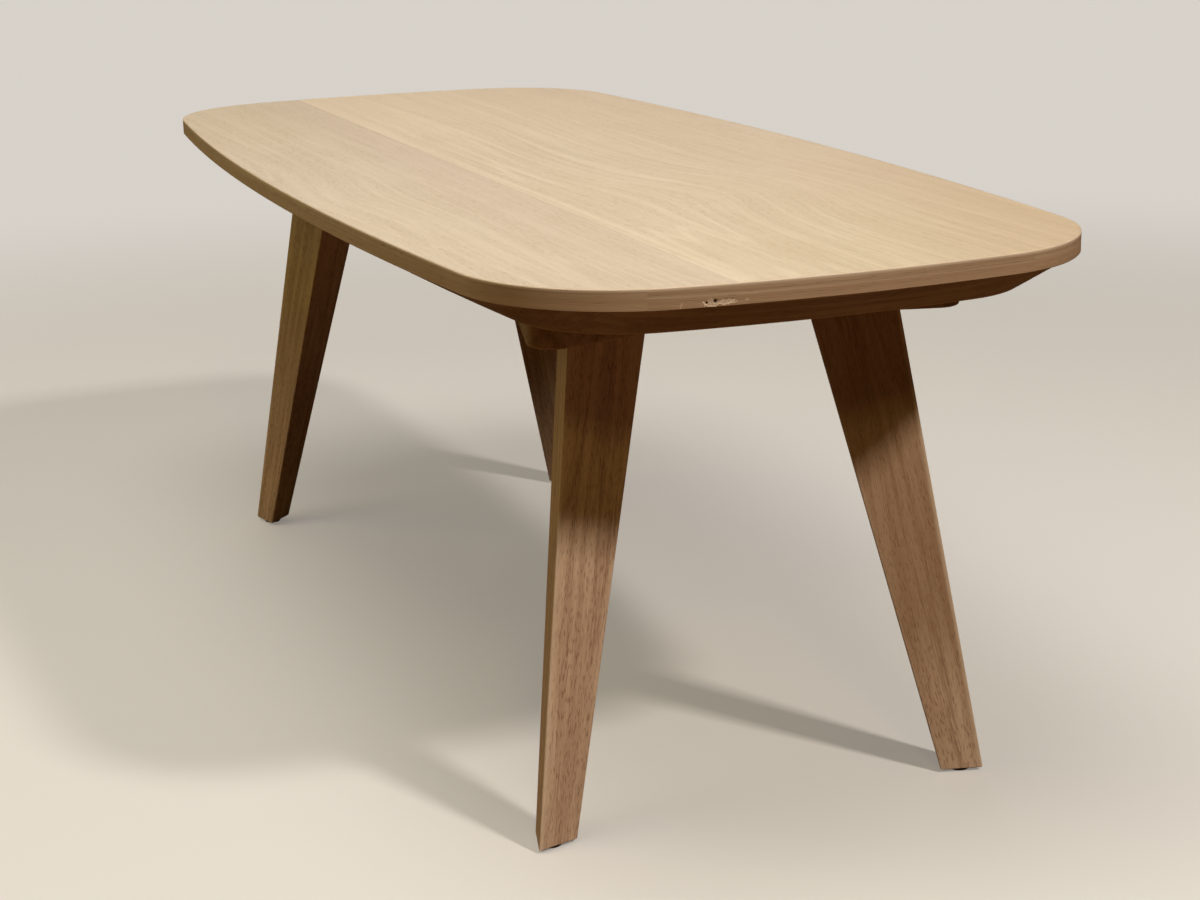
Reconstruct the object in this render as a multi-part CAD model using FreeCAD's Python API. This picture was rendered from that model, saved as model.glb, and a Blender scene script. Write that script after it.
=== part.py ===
import FreeCAD, Part
import math
import os
from FreeCAD import Vector

# Low table: a bowed top with a bevelled underside on four splayed, tapered, three-sided legs.
# Millimetres. +X runs along the top, +Z is up, and the origin is on the floor under the middle of the top.
# Front is the -Y long side and right is the +X short end.

# Overall sizes of the table
TABLE_HEIGHT = 350.0
TOP_LENGTH = 940.0
TOP_WIDTH = 408.0

# Plan outline of the top: two bowed ends and two bowed sides, joined by tangent corner arcs
END_BOW_RADIUS = 800.0
SIDE_BOW_RADIUS = 4000.0
CORNER_RADIUS = 100.0

# Upper panel: veneer on a core board, with a solid lipping around it
EDGE_HEIGHT = 12.0
VENEER_THICKNESS = 0.8
LIPPING_WIDTH = 4.0
TOP_ARRIS_RADIUS = 0.7
LOWER_ARRIS_CHAMFER = 0.45
VENEER_JOINT_FROM_CENTRE = 66.0
LIPPING_JOINT_FROM_CENTRE = 114.0

# Lower panel: bevelled rails around a core board, with a backing sheet under both
UNDER_THICKNESS = 19.0
SHADOW_STEP = 3.5
BEVEL_INSET = 34.0
BACKING_THICKNESS = 1.0
SIDE_RAIL_WIDTH = 70.0
END_RAIL_WIDTH = 70.0

# Legs: an equilateral section with one edge pointing outwards on the plan diagonal
LEG_TOP_SIDE = 57.3
LEG_FOOT_SIDE = 28.0
LEG_EDGE_RADIUS = 0.7
LEG_SPLAY_DEGREES = 14.4
LEG_FROM_END = 170.0

# Leg blocks: rounded triangles, parallel to the legs' faces
BLOCK_THICKNESS = 22.0
BLOCK_MARGIN = 25.6
BLOCK_CORNER_RADIUS = 15.0
BLOCK_EDGE_RADIUS = 1.5
BLOCK_GAP = 32.27

# Leg bolt, its washer, and the threaded insert in the leg
BOLT_DIAMETER = 8.0
BOLT_HEAD_DIAMETER = 13.0
BOLT_HEAD_HEIGHT = 8.0
BOLT_LENGTH = 35.0
BOLT_SOCKET_ACROSS_FLATS = 6.0
BOLT_SOCKET_DEPTH = 4.0
WASHER_RIM = 1.5
WASHER_THICKNESS = 1.6
INSERT_WALL = 2.0
INSERT_LENGTH = 20.0

# Dowels that keep a leg from turning on its bolt
DOWEL_DIAMETER = 6.0
DOWEL_LENGTH = 24.0
DOWEL_FROM_AXIS = 12.0

# Countersunk screws that hold a block to the lower panel
SCREW_DIAMETER = 4.5
SCREW_BITE = 12.0
SCREW_HEAD_DIAMETER = 9.0
SCREW_TIP_LENGTH = 6.0
SCREW_TIP_DIAMETER = 0.8
SCREW_RECESS_WIDTH = 1.2
SCREW_RECESS_SPAN = 5.0
SCREW_RECESS_DEPTH = 1.6

# Foot glides and the nails that hold them
GLIDE_DIAMETER = 13.0
GLIDE_THICKNESS = 2.0
GLIDE_CHAMFER = 0.5
NAIL_DIAMETER = 1.8
NAIL_LENGTH = 14.0
NAIL_HEAD_DIAMETER = 4.5
NAIL_HEAD_THICKNESS = 0.7
NAIL_HEAD_RECESS = 0.4

# Fits
GLUE_LINE = 0.05
SHANK_CLEARANCE = 0.5
THREAD_CLEARANCE = 0.1
HEAD_CLEARANCE = 1.0
WOOD_FIT = 0.05
BOLT_END_GAP = 2.0
DOWEL_END_GAP = 0.5

# Heights that follow from the sizes above
UNDER_TOP_Z = TABLE_HEIGHT - EDGE_HEIGHT
FLAT_Z = UNDER_TOP_Z - UNDER_THICKNESS
BACKING_TOP_Z = FLAT_Z + BACKING_THICKNESS
LEG_TOP_Z = FLAT_Z - BLOCK_THICKNESS
VENEER_Z = TABLE_HEIGHT - VENEER_THICKNESS
FOOT_Z = GLIDE_THICKNESS

# The plan direction of the outer corner of a leg and of its block, and of the two inner corners
OUTER_CORNER = 45.0
INNER_CORNERS = (165.0, 285.0)

# Sizes of the blocks and places of the legs that follow from the sizes above
BLOCK_SIDE = LEG_TOP_SIDE + 2 * math.sqrt(3) * BLOCK_MARGIN
BLOCK_ARC_DISTANCE = BLOCK_SIDE / math.sqrt(3) - 2 * BLOCK_CORNER_RADIUS
BLOCK_REACH = BLOCK_ARC_DISTANCE + BLOCK_CORNER_RADIUS
BLOCK_HALF_WIDTH = BLOCK_ARC_DISTANCE * math.cos(math.radians(15)) + BLOCK_CORNER_RADIUS
LEG_X = TOP_LENGTH / 2 - LEG_FROM_END
LEG_Y = BLOCK_GAP / 2 + BLOCK_HALF_WIDTH
SPLAY_RUN = math.tan(math.radians(LEG_SPLAY_DEGREES)) / math.sqrt(2)

# Sizes of the hardware that follow from the sizes above
SCREW_LENGTH = BLOCK_THICKNESS + SCREW_BITE
SCREW_FROM_AXIS = (LEG_TOP_SIDE / math.sqrt(3) + BLOCK_REACH) / 2
WASHER_DIAMETER = BOLT_HEAD_DIAMETER + 2 * WASHER_RIM
INSERT_DIAMETER = BOLT_DIAMETER + 2 * INSERT_WALL
WASHER_Z = FLAT_Z - HEAD_CLEARANCE - BOLT_HEAD_HEIGHT - WASHER_THICKNESS
BOLT_HEAD_Z = WASHER_Z + WASHER_THICKNESS
DOWEL_HOLE_DEPTH = DOWEL_LENGTH / 2 + DOWEL_END_GAP

# A reach that passes the whole table, for the cuts that split the panels
PAST_TABLE = TOP_LENGTH + TOP_WIDTH

# The signs of X and Y at each leg
LEGS = {
    "front_right": (1, -1),
    "back_right": (1, 1),
    "front_left": (-1, -1),
    "back_left": (-1, 1),
}


def box(x_range, y_range, z_range):
    """A block between three pairs of limits."""
    size = [limits[1] - limits[0] for limits in (x_range, y_range, z_range)]
    return Part.makeBox(*size, Vector(x_range[0], y_range[0], z_range[0]))


def revolved(profile, place):
    """A solid turned about an upright axis through place, from (radius, height) points."""
    points = [Vector(radius, 0, height) for radius, height in profile]
    wire = Part.makePolygon(points + points[:1])
    solid = Part.Face(wire).revolve(Vector(0, 0, 0), Vector(0, 0, 1), 360)
    solid.translate(place)
    return solid


def cylinder(diameter, place, height):
    """An upright cylinder that stands on place."""
    return Part.makeCylinder(diameter / 2, height, place)


def cut(shape, tools):
    """The shape with every one of the other shapes taken away."""
    for tool in tools:
        shape = shape.cut(tool)
    return shape


def corner_centre():
    """The centre of the corner arc that is tangent to the end bow and to the side bow."""
    end_centre = Vector(TOP_LENGTH / 2 - END_BOW_RADIUS, 0, 0)
    side_centre = Vector(0, TOP_WIDTH / 2 - SIDE_BOW_RADIUS, 0)
    from_end = END_BOW_RADIUS - CORNER_RADIUS
    from_side = SIDE_BOW_RADIUS - CORNER_RADIUS
    between = side_centre - end_centre
    gap = between.Length
    along = (gap ** 2 + from_end ** 2 - from_side ** 2) / (2 * gap)
    across = math.sqrt(from_end ** 2 - along ** 2)
    unit = between * (1 / gap)
    normal = Vector(-unit.y, unit.x, 0)
    return end_centre, side_centre, end_centre + unit * along + normal * across


def outline(inset, z):
    """The closed outline of the top, drawn in by inset, at height z."""
    end_centre, side_centre, centre = corner_centre()
    end_way = (centre - end_centre).normalize()
    side_way = (centre - side_centre).normalize()
    middle_way = (end_way + side_way).normalize()
    radius = CORNER_RADIUS - inset
    end_touch = centre + end_way * radius
    side_touch = centre + side_way * radius
    middle = centre + middle_way * radius

    def at(point, sign_x, sign_y):
        return Vector(sign_x * point.x, sign_y * point.y, z)

    end_middle = Vector(TOP_LENGTH / 2 - inset, 0, 0)
    side_middle = Vector(0, TOP_WIDTH / 2 - inset, 0)
    arcs = [
        (at(end_touch, 1, -1), at(end_middle, 1, 1), at(end_touch, 1, 1)),
        (at(end_touch, 1, 1), at(middle, 1, 1), at(side_touch, 1, 1)),
        (at(side_touch, 1, 1), at(side_middle, 1, 1), at(side_touch, -1, 1)),
        (at(side_touch, -1, 1), at(middle, -1, 1), at(end_touch, -1, 1)),
        (at(end_touch, -1, 1), at(end_middle, -1, 1), at(end_touch, -1, -1)),
        (at(end_touch, -1, -1), at(middle, -1, -1), at(side_touch, -1, -1)),
        (at(side_touch, -1, -1), at(side_middle, 1, -1), at(side_touch, 1, -1)),
        (at(side_touch, 1, -1), at(middle, 1, -1), at(end_touch, 1, -1)),
    ]
    return Part.Wire([Part.Arc(*points).toShape() for points in arcs])


def slab(inset, z_range):
    """The top's outline, drawn in by inset, as a flat board between two heights."""
    face = Part.Face(outline(inset, z_range[0]))
    return face.extrude(Vector(0, 0, z_range[1] - z_range[0]))


def edges_at(shape, z):
    """The edges of a shape that lie flat at one height."""
    return [e for e in shape.Edges if abs(e.BoundBox.ZMin - z) < 1e-6 and abs(e.BoundBox.ZMax - z) < 1e-6]


def leg_axis(signs, z):
    """The centre of a leg's section at height z."""
    out = (LEG_TOP_Z - z) * SPLAY_RUN
    return Vector(signs[0] * (LEG_X + out), signs[1] * (LEG_Y + out), z)


def plan_way(signs, degrees):
    """A unit vector in plan, given for the leg in the corner of +X and +Y."""
    angle = math.radians(degrees)
    return Vector(signs[0] * math.cos(angle), signs[1] * math.sin(angle), 0)


def rounded_triangle(centre, side, radius, signs):
    """An equilateral outline with rounded corners, one of them pointing outwards."""
    corners = []
    for direction in (OUTER_CORNER,) + INNER_CORNERS:
        arc_centre = centre + plan_way(signs, direction) * (side / math.sqrt(3) - 2 * radius)
        corners.append([arc_centre + plan_way(signs, direction + turn) * radius for turn in (-60, 0, 60)])
    edges = []
    for index, points in enumerate(corners):
        following = corners[(index + 1) % len(corners)]
        edges.append(Part.Arc(*points).toShape())
        edges.append(Part.LineSegment(points[2], following[0]).toShape())
    return Part.Wire(edges)


def bolt_point(signs, z):
    """The point at height z on a leg bolt's axis, which meets the leg's axis halfway down the insert."""
    meeting = leg_axis(signs, LEG_TOP_Z - INSERT_LENGTH / 2)
    return Vector(meeting.x, meeting.y, z)


def bolt_place(signs):
    """The point where a leg bolt passes from the block into the leg."""
    return bolt_point(signs, LEG_TOP_Z)


def dowel_places(signs):
    """The axes of a leg's two dowels, on the leg's top."""
    return [leg_axis(signs, LEG_TOP_Z) + plan_way(signs, way) * DOWEL_FROM_AXIS for way in INNER_CORNERS]


def screw_places(signs):
    """The axes of a block's screws, on its underside, midway between the leg's corners and its own."""
    ways = (OUTER_CORNER,) + INNER_CORNERS
    return [leg_axis(signs, LEG_TOP_Z) + plan_way(signs, way) * SCREW_FROM_AXIS for way in ways]


def screw_body(place, fit):
    """A countersunk screw that stands on its head, wider by fit on every side."""
    head = SCREW_HEAD_DIAMETER / 2 + fit
    shank = SCREW_DIAMETER / 2 + fit
    cone = (SCREW_HEAD_DIAMETER - SCREW_DIAMETER) / 2
    tip_start = SCREW_LENGTH - SCREW_TIP_LENGTH
    profile = [
        (0, 0),
        (head, 0),
        (shank, cone),
        (shank, tip_start),
        (SCREW_TIP_DIAMETER / 2 + fit, SCREW_LENGTH + fit),
        (0, SCREW_LENGTH + fit),
    ]
    return revolved(profile, place)


def screw(place):
    """A countersunk screw with a cross recess in its head."""
    half = SCREW_RECESS_WIDTH / 2
    span = SCREW_RECESS_SPAN / 2
    depth = (place.z, place.z + SCREW_RECESS_DEPTH)
    slots = [
        box((place.x - half, place.x + half), (place.y - span, place.y + span), depth),
        box((place.x - span, place.x + span), (place.y - half, place.y + half), depth),
    ]
    return cut(screw_body(place, 0), slots)


def all_screw_holes():
    """The room that the screws take up in the blocks and in the lower panel."""
    return [screw_body(place, WOOD_FIT) for signs in LEGS.values() for place in screw_places(signs)]


def upper_panel():
    """Veneer leaves, core board and lippings of the upper panel."""
    whole = slab(0, (UNDER_TOP_Z, TABLE_HEIGHT))
    whole = whole.makeFillet(TOP_ARRIS_RADIUS, edges_at(whole, TABLE_HEIGHT))
    whole = whole.makeChamfer(LOWER_ARRIS_CHAMFER, edges_at(whole, UNDER_TOP_Z))
    core_heights = (UNDER_TOP_Z, VENEER_Z)
    veneer_heights = (VENEER_Z, TABLE_HEIGHT)
    ring = cut(whole, [slab(LIPPING_WIDTH - GLUE_LINE, core_heights), slab(TOP_ARRIS_RADIUS, veneer_heights)])
    veneer = slab(TOP_ARRIS_RADIUS + GLUE_LINE, veneer_heights)

    joint = LIPPING_JOINT_FROM_CENTRE
    every_x = (-PAST_TABLE, PAST_TABLE)
    heights = (0, 2 * TABLE_HEIGHT)
    leaf_joint = -VENEER_JOINT_FROM_CENTRE
    return {
        "top_veneer_narrow_leaf": veneer.common(box(every_x, (-PAST_TABLE, leaf_joint), heights)),
        "top_veneer_wide_leaf": veneer.common(box(every_x, (leaf_joint, PAST_TABLE), heights)),
        "top_core_board": whole.common(slab(LIPPING_WIDTH, core_heights)),
        "lipping_front": ring.common(box(every_x, (-PAST_TABLE, -joint), heights)),
        "lipping_back": ring.common(box(every_x, (joint, PAST_TABLE), heights)),
        "lipping_left_end": ring.common(box((-PAST_TABLE, 0), (-joint, joint), heights)),
        "lipping_right_end": ring.common(box((0, PAST_TABLE), (-joint, joint), heights)),
    }


def lower_panel():
    """Bevelled rails, core board and backing sheet of the lower panel."""
    sections = [outline(BEVEL_INSET, FLAT_Z), outline(SHADOW_STEP, UNDER_TOP_Z)]
    whole = cut(Part.makeLoft(sections, True, True), all_screw_holes())
    rail_x = TOP_LENGTH / 2 - END_RAIL_WIDTH
    rail_y = TOP_WIDTH / 2 - SIDE_RAIL_WIDTH
    every_x = (-PAST_TABLE, PAST_TABLE)
    between_y = (-rail_y, rail_y)
    heights = (BACKING_TOP_Z, UNDER_TOP_Z)
    return {
        "bevel_rail_front": whole.common(box(every_x, (-PAST_TABLE, -rail_y), heights)),
        "bevel_rail_back": whole.common(box(every_x, (rail_y, PAST_TABLE), heights)),
        "bevel_rail_left_end": whole.common(box((-PAST_TABLE, -rail_x), between_y, heights)),
        "bevel_rail_right_end": whole.common(box((rail_x, PAST_TABLE), between_y, heights)),
        "under_core_board": whole.common(box((-rail_x, rail_x), between_y, heights)),
        "underside_backing": whole.common(box(every_x, every_x, (FLAT_Z, BACKING_TOP_Z))),
    }


def leg(signs):
    """A tapered leg, bored for its insert, its dowels and the nail of its glide."""
    foot = rounded_triangle(leg_axis(signs, FOOT_Z), LEG_FOOT_SIDE, LEG_EDGE_RADIUS, signs)
    top = rounded_triangle(leg_axis(signs, LEG_TOP_Z), LEG_TOP_SIDE, LEG_EDGE_RADIUS, signs)
    insert_depth = LEG_TOP_Z - (BOLT_HEAD_Z - BOLT_LENGTH) + BOLT_END_GAP
    down = Vector(0, 0, -1)
    tools = [cylinder(INSERT_DIAMETER + 2 * WOOD_FIT, bolt_place(signs) + down * insert_depth, insert_depth)]
    for place in dowel_places(signs):
        floor = place + down * DOWEL_HOLE_DEPTH
        tools.append(cylinder(DOWEL_DIAMETER + 2 * WOOD_FIT, floor, DOWEL_HOLE_DEPTH))
    nail_depth = NAIL_LENGTH - (GLIDE_THICKNESS - NAIL_HEAD_RECESS) + WOOD_FIT
    tools.append(cylinder(NAIL_DIAMETER + 2 * WOOD_FIT, leg_axis(signs, FOOT_Z), nail_depth))
    return cut(Part.makeLoft([foot, top], True, True), tools)


def leg_block(signs):
    """A rounded triangular block, bored for its bolt, dowels and screws."""
    face = Part.Face(rounded_triangle(leg_axis(signs, LEG_TOP_Z), BLOCK_SIDE, BLOCK_CORNER_RADIUS, signs))
    block = face.extrude(Vector(0, 0, BLOCK_THICKNESS))
    block = block.makeFillet(BLOCK_EDGE_RADIUS, edges_at(block, LEG_TOP_Z))
    tools = [
        cylinder(WASHER_DIAMETER + 2 * SHANK_CLEARANCE, bolt_point(signs, WASHER_Z), FLAT_Z - WASHER_Z),
        cylinder(BOLT_DIAMETER + 2 * SHANK_CLEARANCE, bolt_place(signs), BLOCK_THICKNESS),
    ]
    dowel_hole = DOWEL_DIAMETER + 2 * WOOD_FIT
    tools += [cylinder(dowel_hole, place, DOWEL_HOLE_DEPTH) for place in dowel_places(signs)]
    tools += [screw_body(place, WOOD_FIT) for place in screw_places(signs)]
    return cut(block, tools)


def washer(signs):
    """The flat washer under a leg bolt's head."""
    place = bolt_point(signs, WASHER_Z)
    hole = cylinder(BOLT_DIAMETER + 2 * SHANK_CLEARANCE, place, WASHER_THICKNESS)
    return cylinder(WASHER_DIAMETER, place, WASHER_THICKNESS).cut(hole)


def bolt(signs):
    """A socket head bolt, with its head up in the block and its thread down in the leg."""
    place = bolt_point(signs, BOLT_HEAD_Z)
    head = cylinder(BOLT_HEAD_DIAMETER, place, BOLT_HEAD_HEIGHT)
    shank = cylinder(BOLT_DIAMETER, place - Vector(0, 0, BOLT_LENGTH), BOLT_LENGTH)
    corner = BOLT_SOCKET_ACROSS_FLATS / math.sqrt(3)
    floor = place + Vector(0, 0, BOLT_HEAD_HEIGHT - BOLT_SOCKET_DEPTH)
    turns = [math.radians(60 * step) for step in range(7)]
    hexagon = Part.makePolygon([floor + Vector(corner * math.cos(t), corner * math.sin(t), 0) for t in turns])
    socket = Part.Face(hexagon).extrude(Vector(0, 0, BOLT_SOCKET_DEPTH))
    return head.fuse(shank).removeSplitter().cut(socket)


def insert(signs):
    """The threaded sleeve in a leg's top, which the bolt goes into."""
    place = bolt_place(signs) - Vector(0, 0, INSERT_LENGTH)
    bore = cylinder(BOLT_DIAMETER + 2 * THREAD_CLEARANCE, place, INSERT_LENGTH)
    return cylinder(INSERT_DIAMETER, place, INSERT_LENGTH).cut(bore)


def dowel(place):
    """A dowel, half in the leg and half in the block."""
    return cylinder(DOWEL_DIAMETER, place - Vector(0, 0, DOWEL_LENGTH / 2), DOWEL_LENGTH)


def glide_centre(signs):
    """The point on the floor under the middle of a leg's foot."""
    foot = leg_axis(signs, FOOT_Z)
    return Vector(foot.x, foot.y, 0)


def glide(signs):
    """A round glide under a leg's foot, with a hole and a recess for its nail."""
    radius = GLIDE_DIAMETER / 2
    profile = [
        (0, 0),
        (radius - GLIDE_CHAMFER, 0),
        (radius, GLIDE_CHAMFER),
        (radius, GLIDE_THICKNESS),
        (0, GLIDE_THICKNESS),
    ]
    centre = glide_centre(signs)
    recess = NAIL_HEAD_RECESS + NAIL_HEAD_THICKNESS
    tools = [
        cylinder(NAIL_DIAMETER + 2 * WOOD_FIT, centre, GLIDE_THICKNESS),
        cylinder(NAIL_HEAD_DIAMETER + 2 * WOOD_FIT, centre, recess),
    ]
    return cut(revolved(profile, centre), tools)


def nail(signs):
    """The nail that holds a glide to its foot."""
    place = glide_centre(signs) + Vector(0, 0, NAIL_HEAD_RECESS)
    head = cylinder(NAIL_HEAD_DIAMETER, place, NAIL_HEAD_THICKNESS)
    return head.fuse(cylinder(NAIL_DIAMETER, place, NAIL_LENGTH)).removeSplitter()


def table():
    """Every piece of the table by name. Identical hardware shares a name, as separate solids."""
    pieces = {}
    pieces.update(upper_panel())
    pieces.update(lower_panel())
    for name, signs in LEGS.items():
        pieces["leg_" + name] = leg(signs)
        pieces["leg_block_" + name] = leg_block(signs)
        pieces["foot_glide_" + name] = glide(signs)
    corners = list(LEGS.values())
    pieces["leg_bolts"] = Part.makeCompound([bolt(signs) for signs in corners])
    pieces["leg_bolt_washers"] = Part.makeCompound([washer(signs) for signs in corners])
    pieces["leg_inserts"] = Part.makeCompound([insert(signs) for signs in corners])
    dowels = [dowel(place) for signs in corners for place in dowel_places(signs)]
    screws = [screw(place) for signs in corners for place in screw_places(signs)]
    pieces["leg_dowels"] = Part.makeCompound(dowels)
    pieces["block_screws"] = Part.makeCompound(screws)
    pieces["glide_nails"] = Part.makeCompound([nail(signs) for signs in corners])
    return pieces


os.makedirs("parts", exist_ok=True)
for name, shape in table().items():
    shape.exportStep("parts/" + name + ".step")
    print(name, "solids", len(shape.Solids), "volume", round(shape.Volume, 1), "valid", shape.isValid())
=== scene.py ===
# %% [markdown]
# This lesson dresses a low oak table. Its top is a thin, bowed board with a bevelled board under it, and it
# stands on four splayed legs with three faces each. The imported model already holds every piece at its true
# place and size, in metres, with the floor at height zero. So the lesson keeps those pieces, gives them their
# finishes, and builds anew only the pieces that need finer work than a solid model carries.

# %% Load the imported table
import math

import bmesh
import bpy
from mathutils import Matrix, Vector


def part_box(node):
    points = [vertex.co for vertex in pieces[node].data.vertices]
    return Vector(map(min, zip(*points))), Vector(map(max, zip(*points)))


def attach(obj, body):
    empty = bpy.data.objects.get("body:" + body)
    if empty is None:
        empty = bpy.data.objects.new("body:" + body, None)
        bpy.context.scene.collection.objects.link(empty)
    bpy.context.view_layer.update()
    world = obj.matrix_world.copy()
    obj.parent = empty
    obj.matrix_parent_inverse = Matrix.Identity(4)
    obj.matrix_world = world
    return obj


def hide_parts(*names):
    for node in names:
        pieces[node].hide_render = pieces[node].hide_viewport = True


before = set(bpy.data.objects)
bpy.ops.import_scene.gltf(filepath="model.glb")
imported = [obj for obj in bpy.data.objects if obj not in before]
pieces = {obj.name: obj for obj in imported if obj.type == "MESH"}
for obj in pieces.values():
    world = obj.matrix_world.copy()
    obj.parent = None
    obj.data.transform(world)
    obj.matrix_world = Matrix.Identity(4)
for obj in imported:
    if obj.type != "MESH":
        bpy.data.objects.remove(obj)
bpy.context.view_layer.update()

# %% [markdown]
# The camera stands where the picture was taken: off the right end of the table, a little to the front, and
# higher than the top. Its place and its turn were worked out from the outline of the top and the feet. The
# lens follows from the focal length in picture widths, so the render lines up with the picture.

# %% Camera
FOCAL_LENGTH_IN_WIDTHS = 2233.21 / 1200
SENSOR_WIDTH = 36.0
CAMERA_PLACE = Vector((1.49258, -0.53733, 0.57477))
YAW = math.radians(159.019)
PITCH = math.radians(15.498)
ROLL = math.radians(1.314)


def add_object(name, data):
    """A new object in the scene."""
    made = bpy.data.objects.new(name, data)
    bpy.context.scene.collection.objects.link(made)
    return made


ahead = Vector((math.cos(PITCH) * math.cos(YAW), math.cos(PITCH) * math.sin(YAW), -math.sin(PITCH)))
level = Vector((math.sin(YAW), -math.cos(YAW), 0))
below = ahead.cross(level)
camera_right = level * math.cos(ROLL) + below * math.sin(ROLL)
camera_down = below * math.cos(ROLL) - level * math.sin(ROLL)

camera = add_object("table_camera", bpy.data.cameras.new("table_camera"))
camera.data.sensor_width = SENSOR_WIDTH
camera.data.lens = SENSOR_WIDTH * FOCAL_LENGTH_IN_WIDTHS
camera.matrix_world = Matrix((camera_right, -camera_down, -ahead)).transposed().to_4x4()
camera.location = CAMERA_PLACE
bpy.context.scene.camera = camera
print("lens", round(camera.data.lens, 2), "mm, camera at", tuple(round(v, 3) for v in CAMERA_PLACE))

# %% [markdown]
# Finishes and rules are both drawn as node trees, so a few small helpers come first. A Field is a socket of a
# tree, and a sum that is written with fields adds the maths nodes for it. The same helpers serve shader trees
# and geometry trees, because both kinds share their maths nodes.

# %% Helpers for nodes and sums
class Field:
    """A socket of a node tree. A sum written with it adds a maths node to that tree."""

    def __init__(self, socket):
        self.socket = socket
        self.tree = socket.id_data
        self.is_vector = socket.type == "VECTOR"

    def sum(self, operation, first, second):
        return (calc_vector if self.is_vector else calc)(operation, first, second)

    def __add__(self, other):
        return self.sum("ADD", self, other)

    def __sub__(self, other):
        return self.sum("SUBTRACT", self, other)

    def __rsub__(self, other):
        return self.sum("SUBTRACT", other, self)

    def __mul__(self, other):
        return self.sum("MULTIPLY", self, other)

    def __truediv__(self, other):
        return self.sum("DIVIDE", self, other)


def feed(node, values):
    """Give a node's named or numbered inputs a value, a link or a list of links each."""
    for key, value in dict(values).items():
        for part in value if isinstance(value, list) else [value]:
            if isinstance(part, Field):
                node.id_data.links.new(part.socket, node.inputs[key])
            else:
                node.inputs[key].default_value = part


def add_node(tree, kind, values=(), **settings):
    """A node with its settings and its inputs."""
    node = tree.nodes.new(kind)
    for name, value in settings.items():
        setattr(node, name, value)
    feed(node, values)
    return node


def put(tree, kind, values=(), out=0, **settings):
    """One output of a new node."""
    return Field(add_node(tree, kind, values, **settings).outputs[out])


def tree_of(*values):
    """The tree that the fields among some values belong to."""
    return next(value.tree for value in values if isinstance(value, Field))


def calc(operation, *values, clamp=False):
    """One sum on numbers."""
    return put(tree_of(*values), "ShaderNodeMath", enumerate(values), operation=operation, use_clamp=clamp)


def calc_vector(operation, *values):
    """One sum on vectors."""
    out = "Value" if operation in ("LENGTH", "DISTANCE", "DOT_PRODUCT") else "Vector"
    return put(tree_of(*values), "ShaderNodeVectorMath", enumerate(values), out, operation=operation)


def scaled(vector, amount):
    """A vector times a number."""
    values = {0: vector, "Scale": amount}
    return put(tree_of(vector, amount), "ShaderNodeVectorMath", values, operation="SCALE")


def split(vector):
    """The three numbers of a vector."""
    return [Field(out) for out in add_node(vector.tree, "ShaderNodeSeparateXYZ", {0: vector}).outputs]


def join(x, y, z):
    """A vector from three numbers."""
    return put(tree_of(x, y, z), "ShaderNodeCombineXYZ", {0: x, 1: y, 2: z})


def noise(vector, scale, detail=0.0, roughness=0.5):
    """Soft random numbers around one half."""
    values = {"Vector": vector, "Scale": scale, "Detail": detail, "Roughness": roughness}
    return put(vector.tree, "ShaderNodeTexNoise", values)


def ramp(value, low, high, low_result=0.0, high_result=1.0):
    """A smooth step from one result to another as the value passes from low to high."""
    values = {0: value, 1: low, 2: high, 3: low_result, 4: high_result}
    return put(value.tree, "ShaderNodeMapRange", values, interpolation_type="SMOOTHSTEP")


def fade(value, full, gone):
    """A smooth step from one down to zero."""
    return ramp(value, full, gone, 1.0, 0.0)


def mix_colour(share, first, second):
    """The first colour, with a share of the second."""
    return put(share.tree, "ShaderNodeMix", {0: share, 6: first, 7: second}, 2, data_type="RGBA")


print("fields can be added, subtracted, multiplied and divided")

# %% [markdown]
# A node group is a tree with named inputs, so that one drawing serves many finishes. A plain number or vector
# given for an input says both its kind and its usual value. A material comes with the tree and the shader that
# its finish is drawn in, and a coat gives that shader its colour, its gloss and a faint relief.

# %% Helpers for groups and materials
VECTOR = "NodeSocketVector"
GEOMETRY = "NodeSocketGeometry"
MATERIAL = "NodeSocketMaterial"
RESULT_KINDS = {"Vector": VECTOR, "Geometry": GEOMETRY}


def new_group(name, kind, results, **inputs):
    """A node group with its named results and inputs. Hands back the group and the fields that enter it."""
    tree = bpy.data.node_groups.new(name, kind)
    for label, value in inputs.items():
        plain = not isinstance(value, str)
        socket_kind = (VECTOR if isinstance(value, tuple) else "NodeSocketFloat") if plain else value
        socket = tree.interface.new_socket(label.replace("_", " "), in_out="INPUT", socket_type=socket_kind)
        if plain:
            socket.default_value = value
    for label in results:
        result_kind = RESULT_KINDS.get(label, "NodeSocketFloat")
        tree.interface.new_socket(label, in_out="OUTPUT", socket_type=result_kind)
    tree.nodes.new("NodeGroupOutput").name = "results"
    enter = tree.nodes.new("NodeGroupInput").outputs
    return tree, {socket.name: Field(socket) for socket in enter if socket.name}


def spaced(values):
    """The same values under labels with spaces for underscores."""
    return {label.replace("_", " "): value for label, value in values.items()}


def fill(tree, **results):
    """Link a group's results."""
    feed(tree.nodes["results"], spaced(results))


def use_group(tree, group, **values):
    """A shader group placed in a tree with its inputs filled. Hands back its results by name."""
    node = add_node(tree, "ShaderNodeGroup", spaced(values), node_tree=group)
    return {out.name: Field(out) for out in node.outputs}


def paint(red, green, blue):
    """A colour as a painter reads it, from 0 to 255, as the even light values that shaders use."""
    parts = [part / 255 for part in (red, green, blue)]
    return tuple(p / 12.92 if p <= 0.04045 else ((p + 0.055) / 1.055) ** 2.4 for p in parts) + (1.0,)


def new_material(name):
    """A material, its tree and its shader."""
    material = bpy.data.materials.new(name)
    material.use_nodes = True
    return material, material.node_tree, material.node_tree.nodes["Principled BSDF"]


def coat(shader, colour, roughness, height, depth, strength):
    """Give a shader its colour, its roughness and a relief of some depth."""
    bump = {"Height": height, "Distance": depth, "Strength": strength}
    normal = put(shader.id_data, "ShaderNodeBump", bump)
    feed(shader, {"Base Color": colour, "Roughness": roughness, "Normal": normal})


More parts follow.
